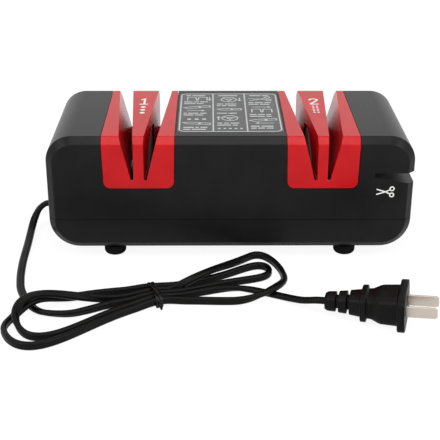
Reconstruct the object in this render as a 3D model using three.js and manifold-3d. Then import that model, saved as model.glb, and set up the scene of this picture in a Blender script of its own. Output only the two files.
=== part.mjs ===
// Electric knife sharpener: a black two-part housing with two red guides over the sharpening wheels,
// a scissors notch in the right end, and a mains cord tied in a hank with a two-blade plug.
// Millimetres, +Z up, +X to the right, +Y to the back. The origin is the middle of the underside,
// on the surface that the feet stand on.

import * as THREE from "three";
import { mergeVertices } from "three/addons/utils/BufferGeometryUtils.js";
import Module from "manifold-3d";

const wasm = await Module();
wasm.setup();

// Clearances that all pieces share
const fitGap = 0.3; // between two pieces that seat on each other
const overrun = 1; // how far a cutter runs past the face that it opens
const weldDistance = 0.0001; // vertices closer than this are one vertex

// Counts of flats on round shapes
const largeSides = 36;
const roundSides = 20;
const smallSides = 10;
const cornerSteps = 6;
const hexSides = 6;
const ovalSides = 16;
const footEdgeSteps = 4;
const tieCornerSteps = 3;
const leadSides = 10;
const hankSides = 6;
const wireSides = 8;
const innerCordSteps = 14;
const leadSteps = 26;
const tailSteps = 10;
const loopSteps = 24; // of each of the hank's loops
const runSteps = 6; // of each of the hank's free ends
const pathDivisions = 400; // for measuring along a path
const hankDivisions = 2000;

// Housing
const housingLength = 210;
const housingDepth = 94;
const overallHeight = 75;
const footHeight = 6.7;
const topCornerRadius = 15;
const bottomCornerRadius = 17.5;
const faceChamfer = 4;
const wall = 2.5;
const seamHeight = 25.4; // height of the line where base and upper housing part
const lipThickness = 1.4;
const lipHeight = 3;
const lipRoot = 5; // how far the lip reaches down inside the base

// Guides: the red inserts with the knife slots
const guideInnerEdge = 31.7; // from the middle of the housing, at the top
const guideOuterEdge = 73;
const guideDraft = 0.7; // each side edge leans in by this much on the way down
const guideBottom = 45;
const guideCornerRadius = 4;
const ribCentre = 52.2; // the rib between the two slots of a guide
const ribFrontWidth = 5.7;
const ribBackWidth = 16.8;
const slotFloor = 49.7;
const slotFloorWidth = 1.6;
const slotFrontMouth = 7.8;
const slotBackMouth = 8.4;
const slotWall = 2.2;
const tabHalfWidth = 8;
const tabThickness = 1.8;
const tabDrop = 6; // how far a snap tab reaches below the guide
const tabRoot = 4; // how far it runs up behind the guide's plate

// Instruction plate between the guides
const plateHalfLength = 30.6;
const plateFront = -35.6;
const plateBack = 37.6;
const plateThickness = 0.8;

// Scissors notch in the right end
const notchDepth = 23; // of the notch, from the right end to its tip
const notchTop = 54;
const notchTipHeight = 2.5;
const notchMouthHeight = 6.7;
const notchWall = 2;

// Feet and housing screws
const footInsetX = 37; // from the ends of the housing to the middle of a foot
const footInsetY = 10.5; // from its front and back
const footRadius = 6.4;
const footEdge = 2.4; // radius of the rounded lower edge
const footStemRadius = 2.5;
const footStemHeight = 4;
const screwInsetX = 25;
const screwInsetY = 10.5;
const bossRadius = 4.2;
const screwShankRadius = 1.5;
const screwHeadRadius = 2.9;
const screwHeadHeight = 2;
const screwHeadRise = 8; // height of the head's seat over the underside of the base
const screwLength = 20;

// Drive line along X
const shaftHeight = 38;
const shaftRadius = 3;
const shaftLeft = -64;
const shaftEndDepth = 9; // from the right end of the housing to the end of the shaft
const wheelRadius = 27;
const wheelThickness = 10.4;
const wheelBore = 5;
const wheelRunRadial = 1.2; // running clearance round a wheel
const wheelRunAxial = 1;
const wheelEdge = 1.5; // bevel at the rim
const hubFlangeRadius = 8;
const hubFlangeThickness = 1.6;
const nutRadius = 6.2;
const nutThickness = 5;
const scissorsWheelDepth = 21; // from the right end of the housing to the wheel's inner face
const scissorsWheelThickness = 6;
const scissorsWheelRadius = 14.3;
const scissorsRun = 0.9; // running clearance of the scissors wheel
const scissorsNutRadius = 5.2;
const scissorsNutThickness = 4;
const collarRadius = 5;

// Motor
const canRadius = 21;
const canWall = 1.4;
const canHalfLength = 25;
const capThickness = 3;
const capBossRadius = 7;
const capBossThickness = 2.6;
const magnetThickness = 2.1;
const magnetHalfAngle = 1.05; // radians
const magnetSteps = 8;
const magnetLeft = -17;
const magnetRight = 15;
const armatureRadius = 16.2;
const commutatorRadius = 7;
const commutatorLength = 7.4;
const brushWidth = 4;
const brushHeight = 5;
const mountThickness = 6;
const mountHalfDepth = 15;
const mountX = 17;
const mountDrop = 12; // from the shaft down to the top of a mount

// Outboard bearing
const bearingGap = 8.5; // from the bearing's inner face to the scissors wheel
const bearingThickness = 4;
const bearingRadius = 8;
const bracketHalfDepth = 12;
const bracketRim = 1.2; // of the bracket over its bearing

// Rocker switch in the back face
const switchHeight = 45;
const recessHalfLength = 12.5;
const recessHalfHeight = 9.5;
const recessDepth = 5;
const recessFloor = 2;
const switchFlangeHalfLength = 10.8;
const switchFlangeHalfHeight = 8.2;
const switchFlangeThickness = 1.5;
const switchBodyHalfLength = 9.9;
const switchBodyHalfHeight = 6.8;
const switchBodyDepth = 15;
const switchWellHalfLength = 8.7;
const switchWellHalfHeight = 5.4;
const switchWellDepth = 10;
const rockerHalfLength = 7.8;
const rockerHalfHeight = 5.1;
const rockerPivotDepth = 6; // from the back face of the housing to the pivot
const rockerEnd = 3.6; // from the pivot out to the raised end of the rocker's face
const rockerWaist = 2.4; // from the pivot out to the middle of its face
const rockerKeel = 4; // from the pivot in to the foot of the rocker
const rockerKeelHalfLength = 3;
const rockerPinRadius = 1.2;
const rockerPinLength = 1.1;
const rockerTilt = 11; // degrees to each side

// Board with the rectifier, and the wires to it
const boardInset = 28; // from the left end of the housing to the middle of the board
const boardCentreY = 20.8;
const boardHalfLength = 13;
const boardHalfDepth = 10.5;
const boardHeight = 12;
const boardThickness = 1.6;
const postRadius = 2;
const postInset = 2.6; // from the board's edges to the middle of a post
const rectifierHalf = 4.5;
const rectifierHeight = 5;
const rectifierOffset = -8; // along X, from the middle of the board
const rectifierY = 23;
const capacitorRadius = 4.5;
const capacitorLength = 15;
const capacitorOffset = 7.5; // along X, from the middle of the board
const wireRadius = 0.9;
const wireSpacing = 3;
const switchTerminals = [-10, -4]; // where the two switch wires end along X

// Vents in the floor under the motor
const ventCount = 6;
const ventPitch = 12;
const ventWidth = 3;
const ventLength = 16;
const ventRowY = 25;

// Cord: a flat twin lead
const cordWidth = 4.6;
const cordThickness = 3.4;
const exitHeight = 15.7;
const reliefFlangeThickness = 2.5;
const reliefFlangeHalfWidth = 5;
const reliefFlangeHalfHeight = 4.4;
const reliefNeckHalfWidth = 4.1;
const reliefNeckHalfHeight = 3.6;
const reliefStep = 0.2; // from the flange's face to the full neck
const reliefCollarLength = 2.2; // of the neck's width outside the housing
const reliefSleeveLength = 6; // of the tapered sleeve
const reliefTipHalfWidth = 3;
const reliefTipHalfHeight = 2.4;
const clampInset = 17; // from the left end of the housing to the middle of the clamp
const clampHalfWidth = 3;
const clampHalfDepth = 9.5;
const clampThickness = 3;
const clampScrewY = 6.6;
const clampPostRadius = 2.6;
const clampScrewRadius = 1.1;
const clampHeadRadius = 2.1;
const clampHeadHeight = 1.5;
const clampScrewDepth = 7;

// Hank: loops between two ends, tied at the waist
const waistX = -38; // the middle of the waist, where the loops come together
const waistY = -95.2;
const hankHeading = 17.8; // degrees from +X towards +Y
const strandPitch = 4; // between strands side by side at the waist
const tieOffset = -4; // of the tie along the hank, from the middle of the waist
const tieFloorGap = 0.1;
const tieSlack = 1; // from the outermost strands' middle places to the tie
const tieThickness = 0.9;
const tieWidth = 2.6;
const tieTail = 5;
const tieTailTurn = 120; // degrees down from level, towards the front
const waistLift = 1.2; // the tie under the strands lifts them by this much
const waistLiftLength = 16;
const runLength = 26; // of the hank's two free ends, from the tie
const runInSide = -1.5;
const runOutSide = -3.4;
const strandClearance = 0.4; // the least gap that the turned cord may have to itself
const selfGapSkip = 14; // points nearer than this along the cord aren't a gap
const gapSliceHalf = 2; // points further than this from a section's plane don't count for it
const gapMeasureSteps = 400;

// Plug
const plugX = 49.2; // where the cord goes into the plug
const plugY = -110.9;
const plugZ = 7.1;
const plugHeading = -14.8; // degrees from +X towards +Y
const plugPitch = 3.9; // degrees nose up
const plugLength = 42.8;
const plugHalfWidth = 16;
const plugHalfHeight = 9.6;
const bladeSpacing = 12.9;
const bladeWidth = 6;
const bladeThickness = 1.5;
const bladeLength = 15.6;
const bladeTaper = 1.2;

// Derived places
const top = overallHeight;
const underside = footHeight;
const halfLength = housingLength / 2;
const halfDepth = housingDepth / 2;
const floorTop = underside + wall;
const notchTip = halfLength - notchDepth;
const footX = halfLength - footInsetX;
const footY = halfDepth - footInsetY;
const screwX = halfLength - screwInsetX;
const screwY = halfDepth - screwInsetY;
const shaftRight = halfLength - shaftEndDepth;
const scissorsWheelLeft = halfLength - scissorsWheelDepth;
const bearingLeft = scissorsWheelLeft - bearingGap;
const bracketTop = shaftHeight + bearingRadius + bracketRim;
const mountTop = shaftHeight - mountDrop;
const clampX = clampInset - halfLength;
const boardCentreX = boardInset - halfLength;
const rectifierX = boardCentreX + rectifierOffset;
const capacitorX = boardCentreX + capacitorOffset;
const wheelHalf = wheelThickness / 2;
const bearingRight = bearingLeft + bearingThickness;
const switchFace = halfDepth - recessDepth;
const rockerPivot = new THREE.Vector3(0, halfDepth - rockerPivotDepth, switchHeight);
const cornerHeight = underside + bottomCornerRadius;
const clampUnder = exitHeight + cordThickness / 2 + fitGap;
const boardTop = boardHeight + boardThickness + fitGap;
const boardPostsX = [
  boardCentreX - boardHalfLength + postInset,
  boardCentreX + boardHalfLength - postInset,
];
const boardPostsY = [
  boardCentreY - boardHalfDepth + postInset,
  boardCentreY + boardHalfDepth - postInset,
];
const shaftHole = shaftRadius + fitGap;
const scissorsWheelRight = scissorsWheelLeft + scissorsWheelThickness;
const magnetOuter = canRadius - canWall - fitGap;
const commutatorLeft = magnetRight + fitGap;
const tiePoint = new THREE.Vector3(waistX, waistY, 0);
const plugEntry = new THREE.Vector3(plugX, plugY, plugZ);

// Solids: closed meshes turned into forms that can be joined and cut

function solid(geometry) {
  const bare = geometry.clone();
  bare.deleteAttribute("normal");
  bare.deleteAttribute("uv");
  const merged = mergeVertices(bare, weldDistance);
  const vertProperties = Float32Array.from(merged.attributes.position.array);
  const triVerts = Uint32Array.from(merged.index.array);
  const form = new wasm.Manifold(new wasm.Mesh({ numProp: 3, vertProperties, triVerts }));
  if (form.volume() > 0) return form;
  // The faces point inwards, so each triangle is turned round.
  for (let i = 0; i < triVerts.length; i += 3) {
    [triVerts[i + 1], triVerts[i + 2]] = [triVerts[i + 2], triVerts[i + 1]];
  }
  return new wasm.Manifold(new wasm.Mesh({ numProp: 3, vertProperties, triVerts }));
}

function geometryOf(form) {
  const mesh = form.getMesh();
  const geometry = new THREE.BufferGeometry();
  geometry.setAttribute("position", new THREE.BufferAttribute(mesh.vertProperties, 3));
  geometry.setIndex(new THREE.BufferAttribute(mesh.triVerts, 1));
  geometry.computeVertexNormals();
  return geometry;
}

function box(x0, x1, y0, y1, z0, z1) {
  const geometry = new THREE.BoxGeometry(Math.abs(x1 - x0), Math.abs(y1 - y0), Math.abs(z1 - z0));
  geometry.translate((x0 + x1) / 2, (y0 + y1) / 2, (z0 + z1) / 2);
  return solid(geometry);
}

// A profile of [radius, place along the axis] pairs, turned about an axis through the given point.
function turned(profile, axis, x, y, z, sides) {
  const points = profile.map(([radius, along]) => new THREE.Vector2(radius, along));
  const geometry = new THREE.LatheGeometry(points, sides);
  if (axis === "x") geometry.rotateZ(-Math.PI / 2);
  if (axis === "z") geometry.rotateX(Math.PI / 2);
  geometry.translate(x, y, z);
  return solid(geometry);
}

function rod(radius, from, to, axis, x, y, z, sides) {
  const profile = [[0, from], [radius, from], [radius, to], [0, to]];
  return turned(profile, axis, x, y, z, sides);
}

function ring(inner, outer, from, to, axis, x, y, z, sides) {
  const profile = [[inner, from], [outer, from], [outer, to], [inner, to], [inner, from]];
  return turned(profile, axis, x, y, z, sides);
}

function corner(x, y, radius) {
  return { x, y, radius };
}

// The points of a polygon whose corners may each have a radius.
function roundedOutline(corners, steps = cornerSteps) {
  const points = [];
  corners.forEach(({ x, y, radius }, i) => {
    const here = new THREE.Vector2(x, y);
    if (radius === 0) {
      points.push(here);
      return;
    }
    const before = corners[(i + corners.length - 1) % corners.length];
    const after = corners[(i + 1) % corners.length];
    const back = new THREE.Vector2(before.x - x, before.y - y).normalize();
    const on = new THREE.Vector2(after.x - x, after.y - y).normalize();
    const half = Math.acos(back.dot(on)) / 2;
    const middle = back.clone().add(on).normalize();
    const centre = here.clone().addScaledVector(middle, radius / Math.sin(half));
    const start = here.clone().addScaledVector(back, radius / Math.tan(half)).sub(centre);
    const end = here.clone().addScaledVector(on, radius / Math.tan(half)).sub(centre);
    const sweep = Math.atan2(start.cross(end), start.dot(end));
    for (let k = 0; k <= steps; k += 1) {
      points.push(start.clone().rotateAround(new THREE.Vector2(), (sweep * k) / steps).add(centre));
    }
  });
  return points;
}

// A front-view outline run along Y, with its end edges chamfered.
function acrossDepth(outline, depth, chamfer) {
  const geometry = new THREE.ExtrudeGeometry(new THREE.Shape(outline), {
    depth: depth - 2 * chamfer,
    bevelEnabled: chamfer > 0,
    bevelThickness: chamfer,
    bevelSize: chamfer,
    bevelOffset: -chamfer,
    bevelSegments: 1,
  });
  geometry.rotateX(Math.PI / 2);
  geometry.translate(0, depth / 2 - chamfer, 0);
  return solid(geometry);
}

// A closed skin through rings of points; all rings are convex and have the same count.
function loft(rings) {
  const count = rings[0].length;
  const position = rings.flat().flatMap((point) => [point.x, point.y, point.z]);
  const index = [];
  for (let r = 0; r + 1 < rings.length; r += 1) {
    for (let i = 0; i < count; i += 1) {
      const j = (i + 1) % count;
      const [a, b, c, d] = [r * count + i, r * count + j, (r + 1) * count + j, (r + 1) * count + i];
      index.push(a, b, c, a, c, d);
    }
  }
  const last = (rings.length - 1) * count;
  for (let i = 1; i + 1 < count; i += 1) {
    index.push(0, i + 1, i);
    index.push(last, last + i, last + i + 1);
  }
  const geometry = new THREE.BufferGeometry();
  geometry.setAttribute("position", new THREE.Float32BufferAttribute(position, 3));
  geometry.setIndex(index);
  return solid(geometry);
}

// An oval ring of points across X, between an ellipse and a box as its squareness goes from 1 to 0.
function ovalRing(along, halfWidth, halfHeight, squareness, sides = ovalSides) {
  return Array.from({ length: sides }, (_, i) => {
    const angle = (2 * Math.PI * (i + 0.5)) / sides;
    const [c, s] = [Math.cos(angle), Math.sin(angle)];
    const y = halfWidth * Math.sign(c) * Math.abs(c) ** squareness;
    const z = halfHeight * Math.sign(s) * Math.abs(s) ** squareness;
    return new THREE.Vector3(along, y, z);
  });
}

// Housing

// The housing's outer form, drawn in on all sides by the inset.
function housingForm(inset) {
  const half = halfLength - inset;
  const low = underside + inset;
  const high = top - inset;
  const outline = roundedOutline([
    corner(-half, low, bottomCornerRadius - inset),
    corner(half, low, bottomCornerRadius - inset),
    corner(half, high, topCornerRadius - inset),
    corner(-half, high, topCornerRadius - inset),
  ]);
  const chamfer = faceChamfer - inset * (2 - Math.SQRT2);
  return acrossDepth(outline, housingDepth - 2 * inset, chamfer);
}

// The part of space between two heights, wider than the housing.
function slab(low, high) {
  const x = halfLength + overrun;
  const y = halfDepth + overrun;
  return box(-x, x, -y, y, low, high);
}

// The saddle that a guide fills, seen from the front, with all its edges moved out by the margin.
function saddle(side, margin) {
  const inner = side * (guideInnerEdge - margin);
  const outer = side * (guideOuterEdge + margin);
  const lean = side * guideDraft;
  const low = guideBottom - margin;
  const outline = roundedOutline([
    corner(inner, top + overrun, 0),
    corner(inner + lean, low, guideCornerRadius + margin),
    corner(outer - lean, low, guideCornerRadius + margin),
    corner(outer, top + overrun, 0),
  ]);
  return acrossDepth(side > 0 ? outline : outline.reverse(), housingDepth + 2 * overrun, 0);
}

// Half the rib's width, and the mouth of its slots, at a place between front and back.
function ribHalf(y) {
  const share = (y + halfDepth) / housingDepth;
  return THREE.MathUtils.lerp(ribFrontWidth, ribBackWidth, share) / 2;
}

function slotMouth(y) {
  const share = (y + halfDepth) / housingDepth;
  return THREE.MathUtils.lerp(slotFrontMouth, slotBackMouth, share);
}

// How wide a slot is at a height, carried on in a straight line past the top.
function slotWidth(y, z) {
  const share = (z - slotFloor) / (top - slotFloor);
  return THREE.MathUtils.lerp(slotFloorWidth, slotMouth(y), share);
}

// One knife slot: upright at the rib, leaning away from it on the other wall.
function slotCutter(side, away) {
  const rings = [-halfDepth - overrun, halfDepth + overrun].map((y) => {
    const face = side * ribCentre + away * ribHalf(y);
    const high = top + overrun;
    return [
      new THREE.Vector3(face, y, slotFloor),
      new THREE.Vector3(face + away * slotWidth(y, slotFloor), y, slotFloor),
      new THREE.Vector3(face + away * slotWidth(y, high), y, high),
      new THREE.Vector3(face, y, high),
    ];
  });
  return loft(rings);
}

// The rib with both slots and their outer walls, as one block.
function slotBlock(side) {
  const rings = [-halfDepth - overrun, halfDepth + overrun].map((y) => {
    const low = slotFloor - slotWall;
    const high = top + overrun;
    const halfAt = (z) => ribHalf(y) + slotWidth(y, z) + slotWall;
    return [
      new THREE.Vector3(side * ribCentre - halfAt(low), y, low),
      new THREE.Vector3(side * ribCentre + halfAt(low), y, low),
      new THREE.Vector3(side * ribCentre + halfAt(high), y, high),
      new THREE.Vector3(side * ribCentre - halfAt(high), y, high),
    ];
  });
  return loft(rings);
}

// A slot's floor is open between the snap tabs, so that grinding dust falls into the base.
function dustOpening(side, away) {
  const reach = halfDepth - wall - fitGap - tabThickness;
  const rings = [-reach, reach].map((y) => {
    const face = side * ribCentre + away * ribHalf(y);
    const far = face + away * slotFloorWidth;
    const low = slotFloor - slotWall - overrun;
    const high = slotFloor + overrun;
    return [
      new THREE.Vector3(face, y, low),
      new THREE.Vector3(far, y, low),
      new THREE.Vector3(far, y, high),
      new THREE.Vector3(face, y, high),
    ];
  });
  return loft(rings);
}

function wheelChamber(side) {
  const half = wheelHalf + wheelRunAxial;
  return rod(wheelRadius + wheelRunRadial, -half, half, "x", side * ribCentre, 0, shaftHeight, largeSides);
}

// A tongue behind the guide's plate that hooks inside the housing wall.
function snapTab(side, facing) {
  const inside = facing * (halfDepth - wall);
  const [x0, x1] = [side * ribCentre - tabHalfWidth, side * ribCentre + tabHalfWidth];
  const outerFace = inside - facing * fitGap;
  const innerFace = outerFace - facing * tabThickness;
  const tongue = box(x0, x1, outerFace, innerFace, guideBottom - tabDrop, guideBottom + tabRoot);
  const root = box(x0, x1, inside + facing * fitGap, innerFace, guideBottom + fitGap, guideBottom + tabRoot);
  return tongue.add(root);
}

function guide(side) {
  const inner = side * (guideInnerEdge + guideDraft + wall);
  const outer = side * (guideOuterEdge - guideDraft - wall);
  const pocket = box(inner, outer, -halfDepth, halfDepth, guideBottom - overrun, top)
    .intersect(housingForm(wall))
    .subtract(slotBlock(side));
  return housingForm(0)
    .intersect(saddle(side, 0))
    .subtract(pocket)
    .add(snapTab(side, -1))
    .add(snapTab(side, 1))
    .subtract(slotCutter(side, -1))
    .subtract(slotCutter(side, 1))
    .subtract(dustOpening(side, -1))
    .subtract(dustOpening(side, 1))
    .subtract(wheelChamber(side));
}

// The scissors notch seen from the front, with a margin round it, run right through.
function notch(margin) {
  const mouth = halfLength + overrun;
  const slope = (notchMouthHeight - notchTipHeight) / (halfLength - notchTip);
  const outline = [
    new THREE.Vector2(notchTip - margin, notchTop - notchTipHeight - margin),
    new THREE.Vector2(mouth, notchTop - notchMouthHeight - slope * overrun - margin),
    new THREE.Vector2(mouth, notchTop + margin),
    new THREE.Vector2(notchTip - margin, notchTop + margin),
  ];
  return acrossDepth(outline, housingDepth + 2 * overrun, 0);
}

function scissorsChamber() {
  const left = scissorsWheelLeft - scissorsRun;
  const right = scissorsWheelLeft + scissorsWheelThickness + scissorsRun;
  return rod(scissorsWheelRadius + scissorsRun, left, right, "x", 0, 0, shaftHeight, largeSides);
}

function switchRecess(margin, depth) {
  const x = recessHalfLength + margin;
  const z = recessHalfHeight + margin;
  return box(-x, x, halfDepth - depth, halfDepth + overrun, switchHeight - z, switchHeight + z);
}

function upperHousing() {
  const shell = housingForm(0).subtract(housingForm(wall));
  const pocketWall = switchRecess(recessFloor, recessDepth + recessFloor).intersect(housingForm(0));
  const notchWalls = notch(notchWall).intersect(housingForm(0));
  let form = shell.add(pocketWall).add(notchWalls);
  for (const x of [-screwX, screwX]) {
    for (const y of [-screwY, screwY]) {
      form = form.add(rod(bossRadius, seamHeight, top - wall / 2, "z", x, y, 0, roundSides));
    }
  }
  form = form.intersect(slab(seamHeight + fitGap / 2, top + overrun));
  for (const x of [-screwX, screwX]) {
    for (const y of [-screwY, screwY]) {
      const hole = screwShankRadius + fitGap;
      const end = underside + screwHeadRise + screwLength + overrun;
      form = form.subtract(rod(hole, underside, end, "z", x, y, 0, smallSides));
    }
  }
  const x = switchBodyHalfLength + fitGap;
  const z = switchBodyHalfHeight + fitGap;
  const switchHole = box(-x, x, halfDepth - switchBodyDepth, halfDepth, switchHeight - z, switchHeight + z);
  const plateX = plateHalfLength + fitGap;
  const plateBed = top - plateThickness - fitGap;
  const plateRecess = box(
    -plateX, plateX, plateFront - fitGap, plateBack + fitGap, plateBed, top + overrun,
  );
  return form
    .subtract(saddle(-1, fitGap))
    .subtract(saddle(1, fitGap))
    .subtract(switchRecess(0, recessDepth))
    .subtract(switchHole)
    .subtract(plateRecess)
    .subtract(notch(0))
    .subtract(scissorsChamber());
}

function lip() {
  const low = seamHeight - lipRoot;
  const inner = housingForm(wall + fitGap + lipThickness);
  const rim = housingForm(wall + fitGap).intersect(slab(low, seamHeight + lipHeight));
  const root = housingForm(wall / 2).intersect(slab(low, seamHeight - fitGap));
  return rim.add(root).subtract(inner);
}

function vents() {
  let form = null;
  for (const y of [-ventRowY, ventRowY]) {
    for (let i = 0; i < ventCount; i += 1) {
      const x = (i - (ventCount - 1) / 2) * ventPitch;
      const half = ventWidth / 2;
      const reach = ventLength / 2;
      const slot = box(x - half, x + half, y - reach, y + reach, underside - overrun, floorTop + overrun);
      form = form === null ? slot : form.add(slot);
    }
  }
  return form;
}

function baseShell() {
  let form = housingForm(0).subtract(housingForm(wall));
  form = form.intersect(slab(underside - overrun, seamHeight - fitGap / 2)).add(lip());
  for (const x of [-screwX, screwX]) {
    for (const y of [-screwY, screwY]) {
      const high = seamHeight - fitGap / 2;
      form = form.add(rod(bossRadius, underside + wall / 2, high, "z", x, y, 0, roundSides));
    }
  }
  for (const x of boardPostsX) {
    for (const y of boardPostsY) {
      const high = boardHeight - fitGap;
      form = form.add(rod(postRadius, underside + wall / 2, high, "z", x, y, 0, smallSides));
    }
  }
  const cordUnder = exitHeight - cordThickness / 2 - fitGap;
  form = form.add(
    box(
      clampX - clampHalfWidth,
      clampX + clampHalfWidth,
      -cordWidth / 2,
      cordWidth / 2,
      underside + wall / 2,
      cordUnder,
    ),
  );
  for (const y of [-clampScrewY, clampScrewY]) {
    const high = clampUnder - fitGap;
    form = form.add(rod(clampPostRadius, underside + wall / 2, high, "z", clampX, y, 0, smallSides));
    const hole = clampScrewRadius + fitGap;
    const bottom = clampUnder - clampScrewDepth - overrun;
    form = form.subtract(rod(hole, bottom, clampUnder + overrun, "z", clampX, y, 0, smallSides));
  }
  for (const x of [-screwX, screwX]) {
    for (const y of [-screwY, screwY]) {
      const seat = underside + screwHeadRise;
      const counterbore = screwHeadRadius + fitGap;
      const hole = screwShankRadius + fitGap;
      form = form.subtract(rod(counterbore, underside - overrun, seat, "z", x, y, 0, smallSides));
      form = form.subtract(rod(hole, underside, seamHeight + overrun, "z", x, y, 0, smallSides));
    }
  }
  for (const x of [-footX, footX]) {
    for (const y of [-footY, footY]) {
      const hole = footStemRadius + fitGap;
      form = form.subtract(rod(hole, underside - overrun, floorTop + overrun, "z", x, y, 0, smallSides));
    }
  }
  return form.subtract(vents()).subtract(reliefForm(fitGap));
}

// Small pieces that stand on the base

function foot(x, y) {
  const profile = [[0, 0]];
  for (let k = 0; k <= footEdgeSteps; k += 1) {
    const angle = (k / footEdgeSteps) * (Math.PI / 2);
    const radius = footRadius - footEdge + footEdge * Math.sin(angle);
    profile.push([radius, footEdge - footEdge * Math.cos(angle)]);
  }
  const seat = underside - fitGap;
  const stemTop = floorTop + footStemHeight - wall;
  profile.push([footRadius, seat], [footStemRadius, seat], [footStemRadius, stemTop], [0, stemTop]);
  return turned(profile, "z", x, y, 0, roundSides);
}

function housingScrew(x, y) {
  const seat = underside + screwHeadRise - fitGap;
  const headBottom = seat - screwHeadHeight;
  const tip = seat + screwLength;
  const profile = [
    [0, headBottom],
    [screwHeadRadius, headBottom],
    [screwHeadRadius, seat],
    [screwShankRadius, seat],
    [screwShankRadius, tip],
    [0, tip],
  ];
  return turned(profile, "z", x, y, 0, smallSides);
}

function clampScrew(y) {
  const seat = clampUnder + clampThickness + fitGap;
  const tip = clampUnder - clampScrewDepth;
  const profile = [
    [0, tip],
    [clampScrewRadius, tip],
    [clampScrewRadius, seat],
    [clampHeadRadius, seat],
    [clampHeadRadius, seat + clampHeadHeight],
    [0, seat + clampHeadHeight],
  ];
  return turned(profile, "z", clampX, y, 0, smallSides);
}

function cordClamp() {
  let form = box(
    clampX - clampHalfWidth,
    clampX + clampHalfWidth,
    -clampHalfDepth,
    clampHalfDepth,
    clampUnder,
    clampUnder + clampThickness,
  );
  for (const y of [-clampScrewY, clampScrewY]) {
    const hole = clampScrewRadius + fitGap;
    const high = clampUnder + clampThickness + overrun;
    form = form.subtract(rod(hole, exitHeight, high, "z", clampX, y, 0, smallSides));
  }
  return form;
}

function board() {
  return box(
    boardCentreX - boardHalfLength,
    boardCentreX + boardHalfLength,
    boardCentreY - boardHalfDepth,
    boardCentreY + boardHalfDepth,
    boardHeight,
    boardHeight + boardThickness,
  );
}

function rectifier() {
  const r = rectifierHalf;
  const high = boardTop + rectifierHeight;
  return box(rectifierX - r, rectifierX + r, rectifierY - r, rectifierY + r, boardTop, high);
}

function capacitor() {
  const half = capacitorLength / 2;
  return rod(capacitorRadius, -half, half, "x", 0, 0, 0, roundSides)
    .rotate([0, 0, 90])
    .translate([capacitorX, boardCentreY, boardTop + capacitorRadius]);
}

// Drive line

function driveShaft() {
  return rod(shaftRadius, shaftLeft, shaftRight, "x", 0, 0, shaftHeight, roundSides);
}

// A piece on the shaft: its profile's places are measured from the middle of the housing.
function onShaft(inner, outer, from, to, sides = roundSides) {
  return ring(inner, outer, from, to, "x", 0, 0, shaftHeight, sides);
}

function sharpeningWheel(side) {
  const left = side * ribCentre - wheelHalf;
  const right = side * ribCentre + wheelHalf;
  const profile = [
    [wheelBore, left],
    [wheelRadius - wheelEdge, left],
    [wheelRadius, left + wheelEdge],
    [wheelRadius, right - wheelEdge],
    [wheelRadius - wheelEdge, right],
    [wheelBore, right],
    [wheelBore, left],
  ];
  return turned(profile, "x", 0, 0, shaftHeight, largeSides);
}

function wheelHub(side) {
  const seat = side * (ribCentre - wheelHalf - fitGap);
  const back = seat - side * hubFlangeThickness;
  const end = side * (ribCentre + wheelHalf);
  const sleeve = wheelBore - fitGap;
  const profile = [
    [shaftHole, back],
    [hubFlangeRadius, back],
    [hubFlangeRadius, seat],
    [sleeve, seat],
    [sleeve, end],
    [shaftHole, end],
    [shaftHole, back],
  ];
  return turned(profile, "x", 0, 0, shaftHeight, roundSides);
}

function nut(side) {
  const seat = ribCentre + wheelHalf + fitGap;
  const [from, to] = side > 0 ? [seat, seat + nutThickness] : [-seat - nutThickness, -seat];
  return hexNut(from, to, nutRadius);
}

function hexNut(from, to, radius) {
  const blank = rod(radius, from, to, "x", 0, 0, shaftHeight, hexSides);
  return blank.subtract(rod(shaftHole, from - overrun, to + overrun, "x", 0, 0, shaftHeight, roundSides));
}

function scissorsWheel() {
  return onShaft(shaftHole, scissorsWheelRadius, scissorsWheelLeft, scissorsWheelRight, largeSides);
}

function scissorsCollar() {
  return onShaft(shaftHole, collarRadius, bearingRight + fitGap, scissorsWheelLeft - fitGap);
}

function scissorsNut() {
  const from = scissorsWheelRight + fitGap;
  return hexNut(from, from + scissorsNutThickness, scissorsNutRadius);
}

function bearingBracket() {
  const low = floorTop + fitGap;
  const block = box(bearingLeft, bearingRight, -bracketHalfDepth, bracketHalfDepth, low, bracketTop);
  const hole = bearingRadius + fitGap;
  return block.subtract(
    rod(hole, bearingLeft - overrun, bearingRight + overrun, "x", 0, 0, shaftHeight, roundSides),
  );
}

// Motor

function motorCan() {
  return onShaft(canRadius - canWall, canRadius, -canHalfLength, canHalfLength, largeSides);
}

function motorCap(side) {
  const inner = side * (canHalfLength + fitGap);
  const face = inner + side * capThickness;
  const end = face + side * capBossThickness;
  const profile = [
    [shaftHole, inner],
    [canRadius, inner],
    [canRadius, face],
    [capBossRadius, face],
    [capBossRadius, end],
    [shaftHole, end],
    [shaftHole, inner],
  ];
  return turned(profile, "x", 0, 0, shaftHeight, largeSides);
}

function magnet(facing) {
  const shape = new THREE.Shape();
  const middle = facing > 0 ? Math.PI / 2 : -Math.PI / 2;
  const outline = [];
  for (const [radius, turn] of [[magnetOuter, 1], [magnetOuter - magnetThickness, -1]]) {
    for (let k = 0; k <= magnetSteps; k += 1) {
      const angle = middle + turn * magnetHalfAngle * ((2 * k) / magnetSteps - 1);
      outline.push(new THREE.Vector2(radius * Math.cos(angle), radius * Math.sin(angle)));
    }
  }
  shape.setFromPoints(outline);
  const depth = magnetRight - magnetLeft;
  const geometry = new THREE.ExtrudeGeometry(shape, { depth, bevelEnabled: false });
  // The outline lies across X, with its own up axis along Y.
  geometry.rotateX(Math.PI / 2);
  geometry.rotateZ(Math.PI / 2);
  geometry.rotateX(-Math.PI / 2);
  geometry.translate(magnetLeft, 0, shaftHeight);
  return solid(geometry);
}

function commutator() {
  return onShaft(shaftHole, commutatorRadius, commutatorLeft, commutatorLeft + commutatorLength);
}

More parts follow.
